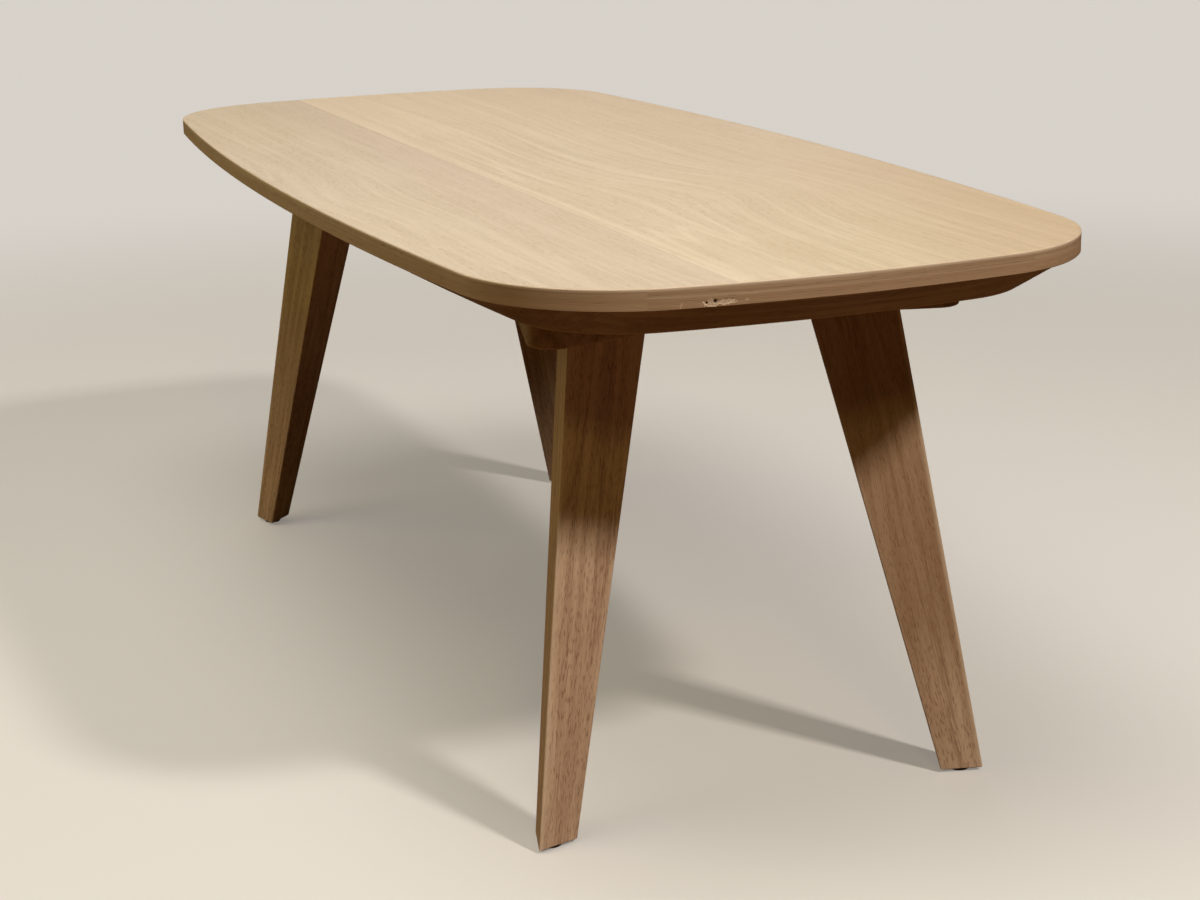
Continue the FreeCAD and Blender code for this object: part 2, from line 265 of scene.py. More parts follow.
def object_place(tree):
    """Coordinates of a piece, in metres."""
    return put(tree, "ShaderNodeTexCoord", out="Object")


print("helpers ready, sample colour", [round(v, 3) for v in paint(200, 170, 135)])

# %% [markdown]
# The room is a plain studio with six lamps. The key lamp, high on the right, lights the near end and throws
# the shadow of the top across the upper legs. A wide lamp hangs over the table, and a large panel far behind
# gives the top its sheen at a low angle. Three weak amber lamps fill the shaded sides, and the one beyond the
# near end draws a second, fainter step of shadow on the legs. Every lamp has an area, because a point of light
# would give hard shadow edges.

# %% Lamps
def softbox(name, place, aim, size, power, colour):
    """A rectangular lamp that faces a point."""
    lamp = bpy.data.lights.new(name, "AREA")
    lamp.shape = "RECTANGLE"
    lamp.size, lamp.size_y = size
    lamp.energy = power
    lamp.color = colour
    made = add_object(name, lamp)
    made.location = place
    made.rotation_mode = "QUATERNION"
    made.rotation_quaternion = (Vector(aim) - Vector(place)).to_track_quat("-Z", "Y")
    made.visible_camera = False
    return made


TABLE_MIDDLE = (0, 0, 0.3)
WARM = (1.0, 0.96, 0.91)
WHITE = (1.0, 0.985, 0.96)
AMBER = (1.0, 0.82, 0.28)
lamps = [
    softbox("key_lamp", (2.28, 1.02, 2.5), TABLE_MIDDLE, (0.3, 0.3), 67, WARM),
    softbox("ceiling_lamp", (0.35, -0.45, 2.3), TABLE_MIDDLE, (1.6, 1.2), 30, WHITE),
    softbox("back_panel", (-6.8, 0.0, 2.9), (0, 0.0, 1.0), (8.2, 3.0), 78, WHITE),
    softbox("front_fill", (-0.7, -3.0, 2.85), TABLE_MIDDLE, (3.0, 2.0), 22, AMBER),
    softbox("side_fill", (-3.4, -2.2, 0.55), TABLE_MIDDLE, (1.6, 0.9), 12, AMBER),
    softbox("near_fill", (3.2, -0.8, 2.4), TABLE_MIDDLE, (0.35, 0.35), 10, AMBER),
]
print("lamps:", [lamp.name for lamp in lamps])

# %% [markdown]
# Round the table is an even, pale room that only the camera sees. What the room itself adds to the light is
# weak and warm. A Light Path node tells a look from a bounce.

# %% Room
ROOM_LIGHT = (1.0, 0.75, 0.4, 1)
ROOM_STRENGTH = 0.012
ROOM_SEEN = (0.68, 0.64, 0.59, 1)


def camera_ray(tree):
    """One where the camera looks, and zero where light bounces."""
    return put(tree, "ShaderNodeLightPath", out="Is Camera Ray")


world = bpy.data.worlds.new("studio")
world.use_nodes = True
room = world.node_tree
feed(room.nodes["Background"], {"Color": ROOM_LIGHT, "Strength": ROOM_STRENGTH})
room_light = Field(room.nodes["Background"].outputs[0])
room_seen = put(room, "ShaderNodeBackground", {"Color": ROOM_SEEN})
room_mix = put(room, "ShaderNodeMixShader", {0: camera_ray(room), 1: room_light, 2: room_seen})
feed(room.nodes["World Output"], {"Surface": room_mix})
bpy.context.scene.world = world
bpy.context.scene.view_settings.view_transform = "Standard"
print("room light", ROOM_LIGHT[:3], "at", ROOM_STRENGTH)

# %% [markdown]
# The floor is pale to look at, with a faint glow that keeps its shadows soft, but it throws back little light,
# and warm, so the underside and the shaded faces keep their depth. Further out it fades into the room, so no
# far edge or dark corner draws the eye. From below the floor is clear, so that the underside can be looked at.

# %% Floor
FLOOR_HALF = 15.0
FLOOR_SEEN = (0.54, 0.505, 0.465, 1)
FLOOR_GLOW = (0.21, 0.198, 0.182, 1)
FLOOR_BOUNCE = (0.125, 0.056, 0.009, 1)
FLOOR_ROUGHNESS = 0.75
FADE_FROM, FADE_TO = 0.85, 2.2

floor_mesh = bpy.data.meshes.new("studio_floor")
floor_corners = [(-1, -1), (1, -1), (1, 1), (-1, 1)]
floor_mesh.from_pydata([(x * FLOOR_HALF, y * FLOOR_HALF, 0) for x, y in floor_corners], [], [(0, 1, 2, 3)])
floor_paint, floor_tree, floor_shader = new_material("studio_floor")
floor_ray = camera_ray(floor_tree)
floor_look = {
    "Base Color": mix_colour(floor_ray, FLOOR_BOUNCE, FLOOR_SEEN),
    "Roughness": FLOOR_ROUGHNESS,
    "Emission Color": FLOOR_GLOW,
    "Emission Strength": floor_ray,
}
feed(floor_shader, floor_look)
far_out = ramp(calc_vector("LENGTH", object_place(floor_tree)), FADE_FROM, FADE_TO)
from_below = put(floor_tree, "ShaderNodeNewGeometry", out="Backfacing")
clear = calc("MAXIMUM", far_out * floor_ray, from_below)
see_through = put(floor_tree, "ShaderNodeBsdfTransparent")
floor_sides = {0: clear, 1: Field(floor_shader.outputs[0]), 2: see_through}
feed(floor_tree.nodes["Material Output"], {"Surface": put(floor_tree, "ShaderNodeMixShader", floor_sides)})
floor_mesh.materials.append(floor_paint)
floor = add_object("studio_floor", floor_mesh)
print("floor", 2 * FLOOR_HALF, "m wide, fades from", FADE_FROM, "to", FADE_TO, "m")

# %% [markdown]
# Oak has three marks that the eye reads at once: growth bands a few millimetres wide, fine fibres along the
# grain, and open pores that look like short dark dashes. All three are stretched noise, long along the grain
# and narrow across it. They go into one shader group, so every oak finish on the table shares the same figure
# with its own sizes. The group expects the grain along the first axis, in metres.

# %% Shader group for the figure of oak
FIBRE_LENGTH, FIBRE_WIDTH = 0.045, 0.0009
BAND_LENGTH = 0.26
BAND_LIMITS = (0.30, 0.70)
NO_PORE_LIMIT, PORE_REACH, PORE_SOFTNESS = 0.74, 0.2, 0.07
LEAST_POROUS = 0.4

oak_figure, enter = new_group(
    "oak_figure",
    "ShaderNodeTree",
    ["Bands", "Fibres", "Pores"],
    Vector=VECTOR,
    Band_Width=0.006,
    Pore_Length=0.006,
    Pore_Width=0.0006,
    Pore_Share=0.5,
)


def grain_noise(vector, length, width, detail):
    """Noise that is stretched along the first axis."""
    along, across, deep = split(vector)
    return noise(join(along / length, across / width, deep / width), 1.0, detail)


bands = ramp(grain_noise(enter["Vector"], BAND_LENGTH, enter["Band Width"], 2.0), *BAND_LIMITS)
fibres = grain_noise(enter["Vector"], FIBRE_LENGTH, FIBRE_WIDTH, 1.0)
dashes = grain_noise(enter["Vector"], enter["Pore Length"], enter["Pore Width"], 0.0)
pore_limit = NO_PORE_LIMIT - enter["Pore Share"] * PORE_REACH
pores = ramp(dashes, pore_limit, pore_limit + PORE_SOFTNESS)
porous = bands * (1 - LEAST_POROUS) + LEAST_POROUS
fill(oak_figure, Bands=bands, Fibres=fibres, Pores=pores * porous)
print("oak_figure has", len(oak_figure.nodes), "nodes")

# %% [markdown]
# No tree grows straight, so the grain lines wander. A second group pushes the coordinates gently sideways as
# they run along the grain. A third breaks up the matt lacquer: its gloss is never even, because of the way it
# was rolled on and of the hands that have rubbed it since. A fourth gives the rubbed look of an edge, and the
# painted highlight along it: it keeps a plain edge mask in some places and drops it in others.

# %% Shader groups for wandering grain, lacquer and rubbed, highlit edges
SWAY_RATIO, SWAY_GAIN = 5.0, 4.0
LACQUER_CLOUDS, LACQUER_SPECKS = 14.0, 420.0
CLOUD_SHARE, SPECK_SHARE = 0.7, 0.3
PORE_ROUGHNESS = 0.25
RUB_SCALE, RUB_ROUGHNESS = 55.0, 0.65
RUB_LIMITS = (0.42, 0.62)

grain_sway, enter = new_group("grain_sway", "ShaderNodeTree", ["Vector"], Vector=VECTOR, Sway=0.004, Reach=0.3)
along, across, deep = split(enter["Vector"])
reach = enter["Reach"]
wander_at = join(along / reach, across * SWAY_RATIO / reach, deep * SWAY_RATIO / reach)
wander = noise(wander_at, 1.0, 1.0) - 0.5
fill(grain_sway, Vector=join(along, across + wander * SWAY_GAIN * enter["Sway"], deep))

lacquer_film, enter = new_group(
    "lacquer_film",
    "ShaderNodeTree",
    ["Roughness", "Tone"],
    Vector=VECTOR,
    Gloss_Roughness=0.42,
    Spread=0.1,
    Pores=0.0,
)
clouds = noise(enter["Vector"], LACQUER_CLOUDS, 3.0)
specks = noise(enter["Vector"], LACQUER_SPECKS, 1.0)
swing = (clouds * CLOUD_SHARE + specks * SPECK_SHARE - 0.5) * enter["Spread"]
rough = enter["Gloss Roughness"] + swing * 2.0
rough = calc("MULTIPLY_ADD", enter["Pores"], PORE_ROUGHNESS, rough, clamp=True)
fill(lacquer_film, Roughness=rough, Tone=clouds)

# The same mask serves for rubbed wear and for a painted highlight along an edge.
rubbed_edge, enter = new_group("rubbed_edge", "ShaderNodeTree", ["Rub"], Vector=VECTOR, Edge=0.0, Cover=0.5)
patches = noise(enter["Vector"], RUB_SCALE, 3.0, RUB_ROUGHNESS)
fill(rubbed_edge, Rub=enter["Edge"] * ramp(patches + (enter["Cover"] - 0.5), *RUB_LIMITS))
print("groups:", [group.name for group in bpy.data.node_groups])

# %% [markdown]
# Two more groups finish the set. One turns bands, fibres and clouds into the share of the darker tone, with a
# contrast of its own for each finish, and into a faint relief. The other draws thin lines along the growth
# rings. They are the height lines of long, smooth noise, as the rings of a board are the height lines of its
# log, and the fibres break them up.

# %% Shader groups for tone and growth rings
FIBRE_TONE, BAND_TONE, CLOUD_TONE = 0.55, 0.45, 0.5
FIBRE_RELIEF = 0.3
RING_LENGTH, RING_WIDTH = 0.8, 0.030
RINGS_PER_STEP = 8.0
RING_EDGE, RING_END = 0.02, 0.14
FIBRE_BREAKS = (0.30, 0.60)

stain_tone, enter = new_group(
    "stain_tone",
    "ShaderNodeTree",
    ["Dark Share", "Relief"],
    Bands=0.5,
    Fibres=0.5,
    Pores=0.0,
    Clouds=0.5,
    Contrast=0.35,
)
streaks = enter["Fibres"] * FIBRE_TONE + enter["Bands"] * BAND_TONE
toned = enter["Clouds"] * CLOUD_TONE + (streaks - CLOUD_TONE / 2)
fill(
    stain_tone,
    Dark_Share=ramp(toned, 0.5 - enter["Contrast"], enter["Contrast"] + 0.5),
    Relief=enter["Fibres"] * FIBRE_RELIEF - enter["Pores"],
)

growth_rings, enter = new_group(
    "growth_rings", "ShaderNodeTree", ["Line"], Vector=VECTOR, Fibres=0.5, Strength=0.4
)
rings = grain_noise(enter["Vector"], RING_LENGTH, RING_WIDTH, 1.0)
wave = calc("PINGPONG", rings * RINGS_PER_STEP, 0.5)
thin = ramp(wave, RING_EDGE, RING_END, enter["Strength"], 0.0)
fill(growth_rings, Line=thin * ramp(enter["Fibres"], *FIBRE_BREAKS))
print("groups:", [group.name for group in bpy.data.node_groups])

# %% [markdown]
# Every oak finish is then built the same way: coordinates, sway, figure, colours, gloss and a faint relief. A
# class draws that chain and keeps the fields that a finish may want to add to, such as a joint line or a worn
# edge. The pale stain fills the pores a little, so the contrast stays low on the top and is stronger on the
# solid legs.

# %% A finish in oak
OAK_BUMP = 0.6


def object_grain(turn, shift):
    """A rule for a piece's coordinates, turned so that its grain runs along the first axis."""
    def rule(tree):
        values = {"Vector": object_place(tree), "Location": shift, "Rotation": (0, 0, turn)}
        return put(tree, "ShaderNodeMapping", values)

    return rule


def stored_grain(tree):
    """Coordinates that a piece carries on its points, with its grain along the first axis."""
    return put(tree, "ShaderNodeAttribute", out="Vector", attribute_name="grain")


def stored_number(tree, name):
    """A number that a piece carries on its points."""
    return put(tree, "ShaderNodeAttribute", out="Fac", attribute_name=name)


class OakFinish:
    """A material whose tree already holds the oak figure, and the fields to go on from."""

    def __init__(
        self, name, grain, tones, figure, sway, reach, contrast, pore_depth, gloss, relief, spread=0.08
    ):
        self.material, self.tree, self.shader = new_material(name)
        self.grain = grain(self.tree)
        swayed = use_group(self.tree, grain_sway, Vector=self.grain, Sway=sway, Reach=reach)
        self.swayed = swayed["Vector"]
        self.marks = use_group(self.tree, oak_figure, Vector=self.swayed, **figure)
        gloss_values = {"Gloss_Roughness": gloss, "Spread": spread, "Pores": self.marks["Pores"]}
        film = use_group(self.tree, lacquer_film, Vector=self.grain, **gloss_values)
        tone = use_group(self.tree, stain_tone, Clouds=film["Tone"], Contrast=contrast, **self.marks)
        pale, dark, pore = tones
        self.colour = mix_colour(tone["Dark Share"], paint(*pale), paint(*dark))
        self.tint(self.marks["Pores"], pore, pore_depth)
        self.roughness = film["Roughness"]
        self.height = tone["Relief"]
        self.relief = relief

    def tint(self, mask, colour, strength=1.0):
        """Lay another colour over what is there, where a mask says so."""
        self.colour = mix_colour(mask * strength, self.colour, paint(*colour))

    def growth_lines(self, strength, colour):
        """Tint thin lines along the growth rings."""
        values = {"Fibres": self.marks["Fibres"], "Strength": strength}
        self.tint(use_group(self.tree, growth_rings, Vector=self.swayed, **values)["Line"], colour)

    def rub_and_highlight(self, edge, cover, colour, strength):
        """Tint an edge paler where it has been rubbed and where a highlight is painted on it."""
        rubbed = use_group(self.tree, rubbed_edge, Vector=self.grain, Edge=edge, Cover=cover)
        self.tint(rubbed["Rub"], colour, strength)

    def done(self):
        """Coat the shader and hand back the material."""
        coat(self.shader, self.colour, self.roughness, self.height, self.relief, OAK_BUMP)
        return self.material


def dress(material, *names):
    """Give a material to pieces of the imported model."""
    for name in names:
        slots = pieces[name].data.materials
        slots.clear()
        slots.append(material)


print("oak finish ready, with", len(bpy.data.node_groups), "groups to draw on")

# %% [markdown]
# The top is veneered in two leaves of pale oak. The narrow front leaf has nearly straight grain. The wide leaf
# shows the wavy figure of a flat-cut board: its lines rise over one place and dip round another, as they do
# beside a knot that lay deeper in the log. Two soft humps in the coordinates give that dip without any drawn
# lines. A third kind of mark belongs to the sheet and not to the wood: a dark hairline at the joint, with a
# paler strip beside it on the wide leaf and a pinker one on the narrow leaf. On top of these comes painted
# light
# and shade: a slow drift of tone towards the left end, paler on the wide leaf and a little duller on the narrow
# one, and painted shade towards the back. Both leaves share these marks, so they are a group too.

# %% Figure, marks and painted shading of the veneer leaves
VENEER_JOINT_Y = -0.066
FADE_ALONG_JOINT = (0.28, 0.44, 1.0, 0.4)
# Painted light and shade: the tone drifts towards the left end, and the back is painted darker.
LEFT_PAINTED_SHADING = (-0.42, 0.02)
BACK_PAINTED_SHADE = (0.03, 0.17)
NARROW_LEAF_SHIFT = (0.7, 0.3, 0.0)
# Each hump has a middle in plan, a reach each way and a height.
KNOT_DIP = (0.190, 0.065), (0.085, 0.075), -0.026
KNOT_RISE = (-0.020, 0.050), (0.130, 0.060), 0.012
FRONT_WAVE = (0.095, -0.172), (0.075, 0.040), 0.011


def hump(x, y, middle, reach, height):
    """A smooth hill over the plan of the top."""
    parts = []
    for value, centre, length in zip((x, y), middle, reach):
        offset = (value - centre) / length
        parts.append(offset * offset)
    return calc("EXPONENT", (parts[0] + parts[1]) * -1.0) * height


def flat_cut_grain(tree):
    """Coordinates of the wide leaf, bent round the place of a deeper knot."""
    x, y, z = split(object_place(tree))
    return join(x, y + (hump(x, y, *KNOT_DIP) + hump(x, y, *KNOT_RISE)), z)


def narrow_leaf_grain(tree):
    """Coordinates of the narrow leaf, from another part of the log, with a small wave near the front edge."""
    x, y, z = split(object_place(tree))
    return join(x, y + hump(x, y, *FRONT_WAVE), z) + NARROW_LEAF_SHIFT


leaf_marks, enter = new_group(
    "leaf_marks",
    "ShaderNodeTree",
    ["Joint Line", "Joint Band", "Left End", "Back Edge"],
    Vector=VECTOR,
    Joint=VENEER_JOINT_Y,
    Line=0.0007,
    Band=0.016,
)
leaf_x, leaf_y, _ = split(enter["Vector"])
from_joint = calc("ABSOLUTE", leaf_y - enter["Joint"])
joint_fade = ramp(leaf_x, *FADE_ALONG_JOINT)
# The left and back masks carry painted light and shade, not marks of the sheet.
fill(
    leaf_marks,
    Joint_Line=fade(from_joint, 0.0, enter["Line"]) * joint_fade,
    Joint_Band=fade(from_joint, 0.0, enter["Band"]) * joint_fade,
    Left_End=fade(leaf_x, *LEFT_PAINTED_SHADING),
    Back_Edge=ramp(leaf_y, *BACK_PAINTED_SHADE),
)
print("veneer joint at y", VENEER_JOINT_Y)

# %% [markdown]
# Now the two leaves take their finish. They come from one log, so they differ only a little in tone and in how
# far their grain sways. Thin, pale lines follow the growth rings.

# %% Veneer leaves of the top
VENEER = {
    "figure": {"Band_Width": 0.0055, "Pore_Length": 0.009},
    "contrast": 0.36,
    "pore_depth": 0.22,
    "gloss": 0.42,
    "spread": 0.06,
    "relief": 0.00010,
}
LEFT_SHADING_SHARE, BACK_SHADE_SHARE, JOINT_SHARE = 0.45, 0.35, 0.45
BACK_SHADE_TONE = (203, 174, 146)
JOINT_TONE = (150, 118, 88)


def mark_leaf(finish, band, band_share, band_tone, left_tone):
    """Draw the joint line, the wood beside it, and the painted light and shade towards the left end and the
    back.
    """
    marks = use_group(finish.tree, leaf_marks, Vector=object_place(finish.tree), Band=band)
    # Painted light and shade towards the left end, and painted shade towards the back.
    finish.tint(marks["Left End"], left_tone, LEFT_SHADING_SHARE)
    finish.tint(marks["Back Edge"], BACK_SHADE_TONE, BACK_SHADE_SHARE)
    finish.tint(marks["Joint Band"], band_tone, band_share)
    finish.tint(marks["Joint Line"], JOINT_TONE, JOINT_SHARE)


narrow_tones = (206, 186, 158), (196, 175, 147), (174, 150, 123)
narrow_leaf = OakFinish(
    "oak_veneer_narrow_leaf", narrow_leaf_grain, narrow_tones, sway=0.003, reach=0.45, **VENEER
)
narrow_leaf.growth_lines(0.35, (222, 204, 178))
mark_leaf(narrow_leaf, band=0.085, band_share=0.45, band_tone=(199, 172, 148), left_tone=(202, 177, 135))
wide_tones = (209, 188, 157), (199, 177, 145), (178, 154, 121)
wide_leaf = OakFinish("oak_veneer_wide_leaf", flat_cut_grain, wide_tones, sway=0.005, reach=0.40, **VENEER)
wide_leaf.growth_lines(0.45, (226, 208, 178))
mark_leaf(wide_leaf, band=0.016, band_share=0.22, band_tone=(230, 211, 182), left_tone=(228, 199, 161))
dress(narrow_leaf.done(), "top_veneer_narrow_leaf")
dress(wide_leaf.done(), "top_veneer_wide_leaf")
print("leaf finishes have", len(narrow_leaf.tree.nodes), "and", len(wide_leaf.tree.nodes), "nodes")

# %% [markdown]
# A solid lipping runs round the edge of the top in four lengths. Each follows the plan of the top, which is
# made of arcs: two bowed ends, two bowed sides and four round corners. A sweep of one section along that path
# is a rule, so a geometry tree builds all four. First come the path, as a line of points for each length, and
# the section, with its rounded upper arris and its small chamfer below.

# %% Plan path and section of the lipping
TOP_LENGTH = 0.940
TOP_WIDTH = 0.408
END_BOW_RADIUS = 0.800
SIDE_BOW_RADIUS = 4.000
CORNER_RADIUS = 0.100
LIPPING_JOINT_Y = 0.114
TOP_Z = 0.350
EDGE_HEIGHT = 0.012
VENEER_THICKNESS = 0.0008
LIPPING_WIDTH = 0.00395
TOP_ARRIS_RADIUS = 0.0007
LOWER_ARRIS_CHAMFER = 0.00045
PATH_STEP = 0.0005
SECTION_STEP = 0.0003


def arc_points(centre, radius, start, end, step):
    """Points on an arc from one angle to another, in radians."""
    count = max(2, math.ceil(abs(end - start) * radius / step))
    turns = [start + (end - start) * k / count for k in range(count + 1)]
    return [(centre[0] + radius * math.cos(t), centre[1] + radius * math.sin(t)) for t in turns]


def quarter_plan():
    """The plan of the top from the middle of the right end to the middle of the back."""
    end_middle = Vector((TOP_LENGTH / 2 - END_BOW_RADIUS, 0))
    side_middle = Vector((0, TOP_WIDTH / 2 - SIDE_BOW_RADIUS))
    between = side_middle - end_middle
    from_end = END_BOW_RADIUS - CORNER_RADIUS
    from_side = SIDE_BOW_RADIUS - CORNER_RADIUS
    along = (between.length_squared + from_end ** 2 - from_side ** 2) / (2 * between.length)
    across = math.sqrt(from_end ** 2 - along ** 2)
    unit = between.normalized()
    middle = end_middle + unit * along + Vector((-unit.y, unit.x)) * across
    first = math.atan2(*reversed(middle - end_middle))
    last = math.atan2(*reversed(middle - side_middle))
    points = arc_points(end_middle, END_BOW_RADIUS, 0, first, PATH_STEP)
    points += arc_points(middle, CORNER_RADIUS, first, last, PATH_STEP)[1:]
    points += arc_points(side_middle, SIDE_BOW_RADIUS, last, math.pi / 2, PATH_STEP)[1:]
    return points


def cut_at(points, height):
    """Split an open line of points where it passes a height, with the passing point in both halves."""
    for index in range(len(points) - 1):
        (x0, y0), (x1, y1) = points[index], points[index + 1]
        if y0 <= height < y1:
            share = (height - y0) / (y1 - y0)
            passing = (x0 + (x1 - x0) * share, height)
            return points[: index + 1] + [passing], [passing] + points[index + 1 :]
    raise ValueError("the line doesn't pass that height")


def mirrored(points, sign_x, sign_y):
    """The same line in another quarter of the plan."""
    return [(sign_x * x, sign_y * y) for x, y in points]


def joined(first, second):
    """Two lines that share a point, as one."""
    return first + second[1:]


def lipping_section():
    """The outline of the lipping, as (distance in from the edge, height) points."""
    lower = TOP_Z - EDGE_HEIGHT
    veneer = TOP_Z - VENEER_THICKNESS
    radius = TOP_ARRIS_RADIUS
    top_arc = arc_points((radius, TOP_Z - radius), radius, math.pi / 2, math.pi, SECTION_STEP)
    start, end = top_arc[-1][1], lower + LOWER_ARRIS_CHAMFER
    steps = math.ceil((start - end) / SECTION_STEP)
    face = [(0.0, start + (end - start) * k / steps) for k in range(1, steps + 1)]
    inner = [(LOWER_ARRIS_CHAMFER, lower), (LIPPING_WIDTH, lower), (LIPPING_WIDTH, veneer), (radius, veneer)]
    return top_arc + face + inner


def wire(name, points, closed):
    """A flat mesh of edges along a line of points."""
    mesh = bpy.data.meshes.new(name)
    links = [(k, k + 1) for k in range(len(points) - 1)]
    if closed:
        links.append((len(points) - 1, 0))
    mesh.from_pydata([(x, y, 0) for x, y in points], links, [])
    return mesh


# Every path runs anticlockwise, seen from above.
end_quarter, side_quarter = cut_at(quarter_plan(), LIPPING_JOINT_Y)
lipping_paths = {
    "right_end": joined(mirrored(end_quarter, 1, -1)[::-1], end_quarter),
    "back": joined(side_quarter, mirrored(side_quarter, -1, 1)[::-1]),
    "left_end": joined(mirrored(end_quarter, -1, 1)[::-1], mirrored(end_quarter, -1, -1)),
    "front": joined(mirrored(side_quarter, -1, -1), mirrored(side_quarter, 1, -1)[::-1]),
}
section_object = add_object("lipping_section", wire("lipping_section", lipping_section(), True))
print({name: len(points) for name, points in lipping_paths.items()}, "path points")
print(len(section_object.data.vertices), "section points")

# %% [markdown]
# The geometry trees need a few helpers of their own: one keeps values on a geometry's points while its shape
# changes, one stores them under a name that a finish can read, one makes the skin of a swept section, and one
# ends a tree in real faces with a material.

# %% Helpers for geometry trees
def capture(geometry, **fields):
    """Keep fields on the points of a geometry. Hands back the geometry and the kept fields."""
    node = add_node(geometry.tree, "GeometryNodeCaptureAttribute", {"Geometry": geometry}, domain="POINT")
    kinds = {"VALUE": "FLOAT", "INT": "INT", "VECTOR": "VECTOR"}
    for name, field in fields.items():
        node.capture_items.new(kinds[field.socket.type], name)
        feed(node, {name: field})
    return Field(node.outputs["Geometry"]), [Field(node.outputs[name]) for name in fields]


def store(geometry, **fields):
    """Keep fields on the points of a mesh under their names."""
    for name, field in fields.items():
        values = {"Geometry": geometry, "Name": name, "Value": field}
        kind = "FLOAT_VECTOR" if field.is_vector else "FLOAT"
        node_kind = "GeometryNodeStoreNamedAttribute"
        geometry = put(geometry.tree, node_kind, values, data_type=kind, domain="POINT")
    return geometry


def swept(path, section):
    """The skin of a section that runs along a path, with both ends closed."""
    values = {"Curve": path, "Profile Curve": section, "Fill Caps": True}
    return put(path.tree, "GeometryNodeCurveToMesh", values)


def set_place(geometry, place):
    """A geometry with its points moved to other places."""
    return put(geometry.tree, "GeometryNodeSetPosition", {"Geometry": geometry, "Position": place})


def finish_tree(geometry, material):
    """End a tree in real faces with a material."""
    real = put(geometry.tree, "GeometryNodeRealizeInstances", {"Geometry": geometry})
    done = put(geometry.tree, "GeometryNodeSetMaterial", {"Geometry": real, "Material": material})
    fill(geometry.tree, Geometry=done)
    print(geometry.tree.name, "has", len(geometry.tree.nodes), "nodes")


print("geometry helpers ready")

# %% [markdown]
# The tree for the sweep turns the two wires into curves and makes the skin between them. It places every point
# itself, from a point of the path, the way out from it and a point of the section, and it stores how far along
# the path each point lies, so that the grain can follow the bend. On the real table the lipping has a chip on
# the right end, and the tree presses that in as well. The chip is two ovals on the face with a ragged rim,
# which comes from noise added to the ovals. Two small pits lie in it.

# %% Geometry tree for a swept lipping
NO_VECTOR = (0.0, 0.0, 0.0)
RAGGED_SCALE, RAGGED_GAIN = 760.0, 3.4
CHIP_LIMITS = (2.05, 2.6)
LARGE_PIT_SHARE = 0.6
PIT_LIMITS = (0.55, 1.15)

sweep, enter = new_group(
    "lipping_sweep",
    "GeometryNodeTree",
    ["Geometry"],
    Path=GEOMETRY,
    Section="NodeSocketObject",
    Spacing=0.001,
    Grain_Start=0.0,
    First_Chip=NO_VECTOR,
    First_Chip_Size=(1.0, 0.0054, 0.0023),
    Second_Chip=NO_VECTOR,
    Second_Chip_Size=(1.0, 0.0058, 0.0016),
    Chip_Depth=0.0,
    Small_Pit=NO_VECTOR,
    Large_Pit=NO_VECTOR,
    Pit_Radius=0.0006,
    Pit_Depth=0.0,
    Material=MATERIAL,
)
path_curve = put(sweep, "GeometryNodeMeshToCurve", {0: enter["Path"]})
even_values = {"Curve": path_curve, "Length": enter["Spacing"]}
even_path = put(sweep, "GeometryNodeResampleCurve", even_values, mode="LENGTH")
place = put(sweep, "GeometryNodeInputPosition")
path_way = put(sweep, "GeometryNodeInputTangent")
path_length = put(sweep, "GeometryNodeSplineParameter", out="Length")
path_out = calc_vector("NORMALIZE", calc_vector("CROSS_PRODUCT", path_way, (0, 0, 1)))
even_path, (path_at, out_way, run_length) = capture(even_path, place=place, out_way=path_out, run=path_length)
section_mesh = put(sweep, "GeometryNodeObjectInfo", {"Object": enter["Section"]}, "Geometry")
section_curve = put(sweep, "GeometryNodeMeshToCurve", {0: section_mesh})
section_curve, (section_at,) = capture(section_curve, point=place)
inset, height, _ = split(section_at)
true_place = path_at - scaled(out_way, inset) + join(0.0, 0.0, height)


def oval(chip):
    """How far out a point lies in the oval of a chip on the face, with 1 on its rim."""
    _, aside, up = split((true_place - enter[chip]) / enter[chip + " Size"])
    return aside * aside + up * up


either_oval = calc("MINIMUM", oval("First Chip"), oval("Second Chip"))
ragged = noise(true_place, RAGGED_SCALE, 3.0) * RAGGED_GAIN + either_oval
on_face = calc("LESS_THAN", inset, LIPPING_WIDTH / 2)
chip = fade(ragged, *CHIP_LIMITS) * on_face
near_small = calc_vector("DISTANCE", true_place, enter["Small Pit"])
near_large = calc_vector("DISTANCE", true_place, enter["Large Pit"])
near_pit = calc("MINIMUM", near_small, near_large * LARGE_PIT_SHARE)
pit = fade(near_pit / enter["Pit Radius"], *PIT_LIMITS) * on_face
pressed = chip * enter["Chip Depth"] + pit * enter["Pit Depth"]
lipping_skin = set_place(swept(even_path, section_curve), true_place - scaled(out_way, pressed))
lipping_skin = store(
    lipping_skin,
    grain=join(run_length + enter["Grain Start"], height, inset),
    chip=chip * calc("GREATER_THAN", enter["Chip Depth"], 0.0),
    pit=pit * calc("GREATER_THAN", enter["Pit Depth"], 0.0),
)
finish_tree(lipping_skin, enter["Material"])

# %% [markdown]
# The lipping is solid oak, so its finish is a little browner than the veneer and its grain runs along the edge.
# The sharp arris above is paler, partly rubbed and partly a painted highlight where the arris catches the
# light.
# On the right end a thin pale line runs along the middle of the face, where two layers of wood meet. The
# broken wood of the chip is pale and dull, and its pits are painted dark, as painted shade in the hollows.

# %% Finish of the lipping
LAYER_LINE_Z = 0.3443
LAYER_SOFTNESS = 0.0004
ARRIS_RUB_AND_HIGHLIGHT_FROM, ARRIS_RUB_AND_HIGHLIGHT_TO = TOP_Z - 0.0024, TOP_Z - 0.0006
LINE_TONE, SCRATCH_TONE = (206, 176, 144), (214, 184, 152)
MARK_CORE = 0.4
CHIP_RIM_START, CHIP_RIM_END = (0.05, 0.30), (0.60, 0.98)
CHIP_ROUGHNESS = 0.3
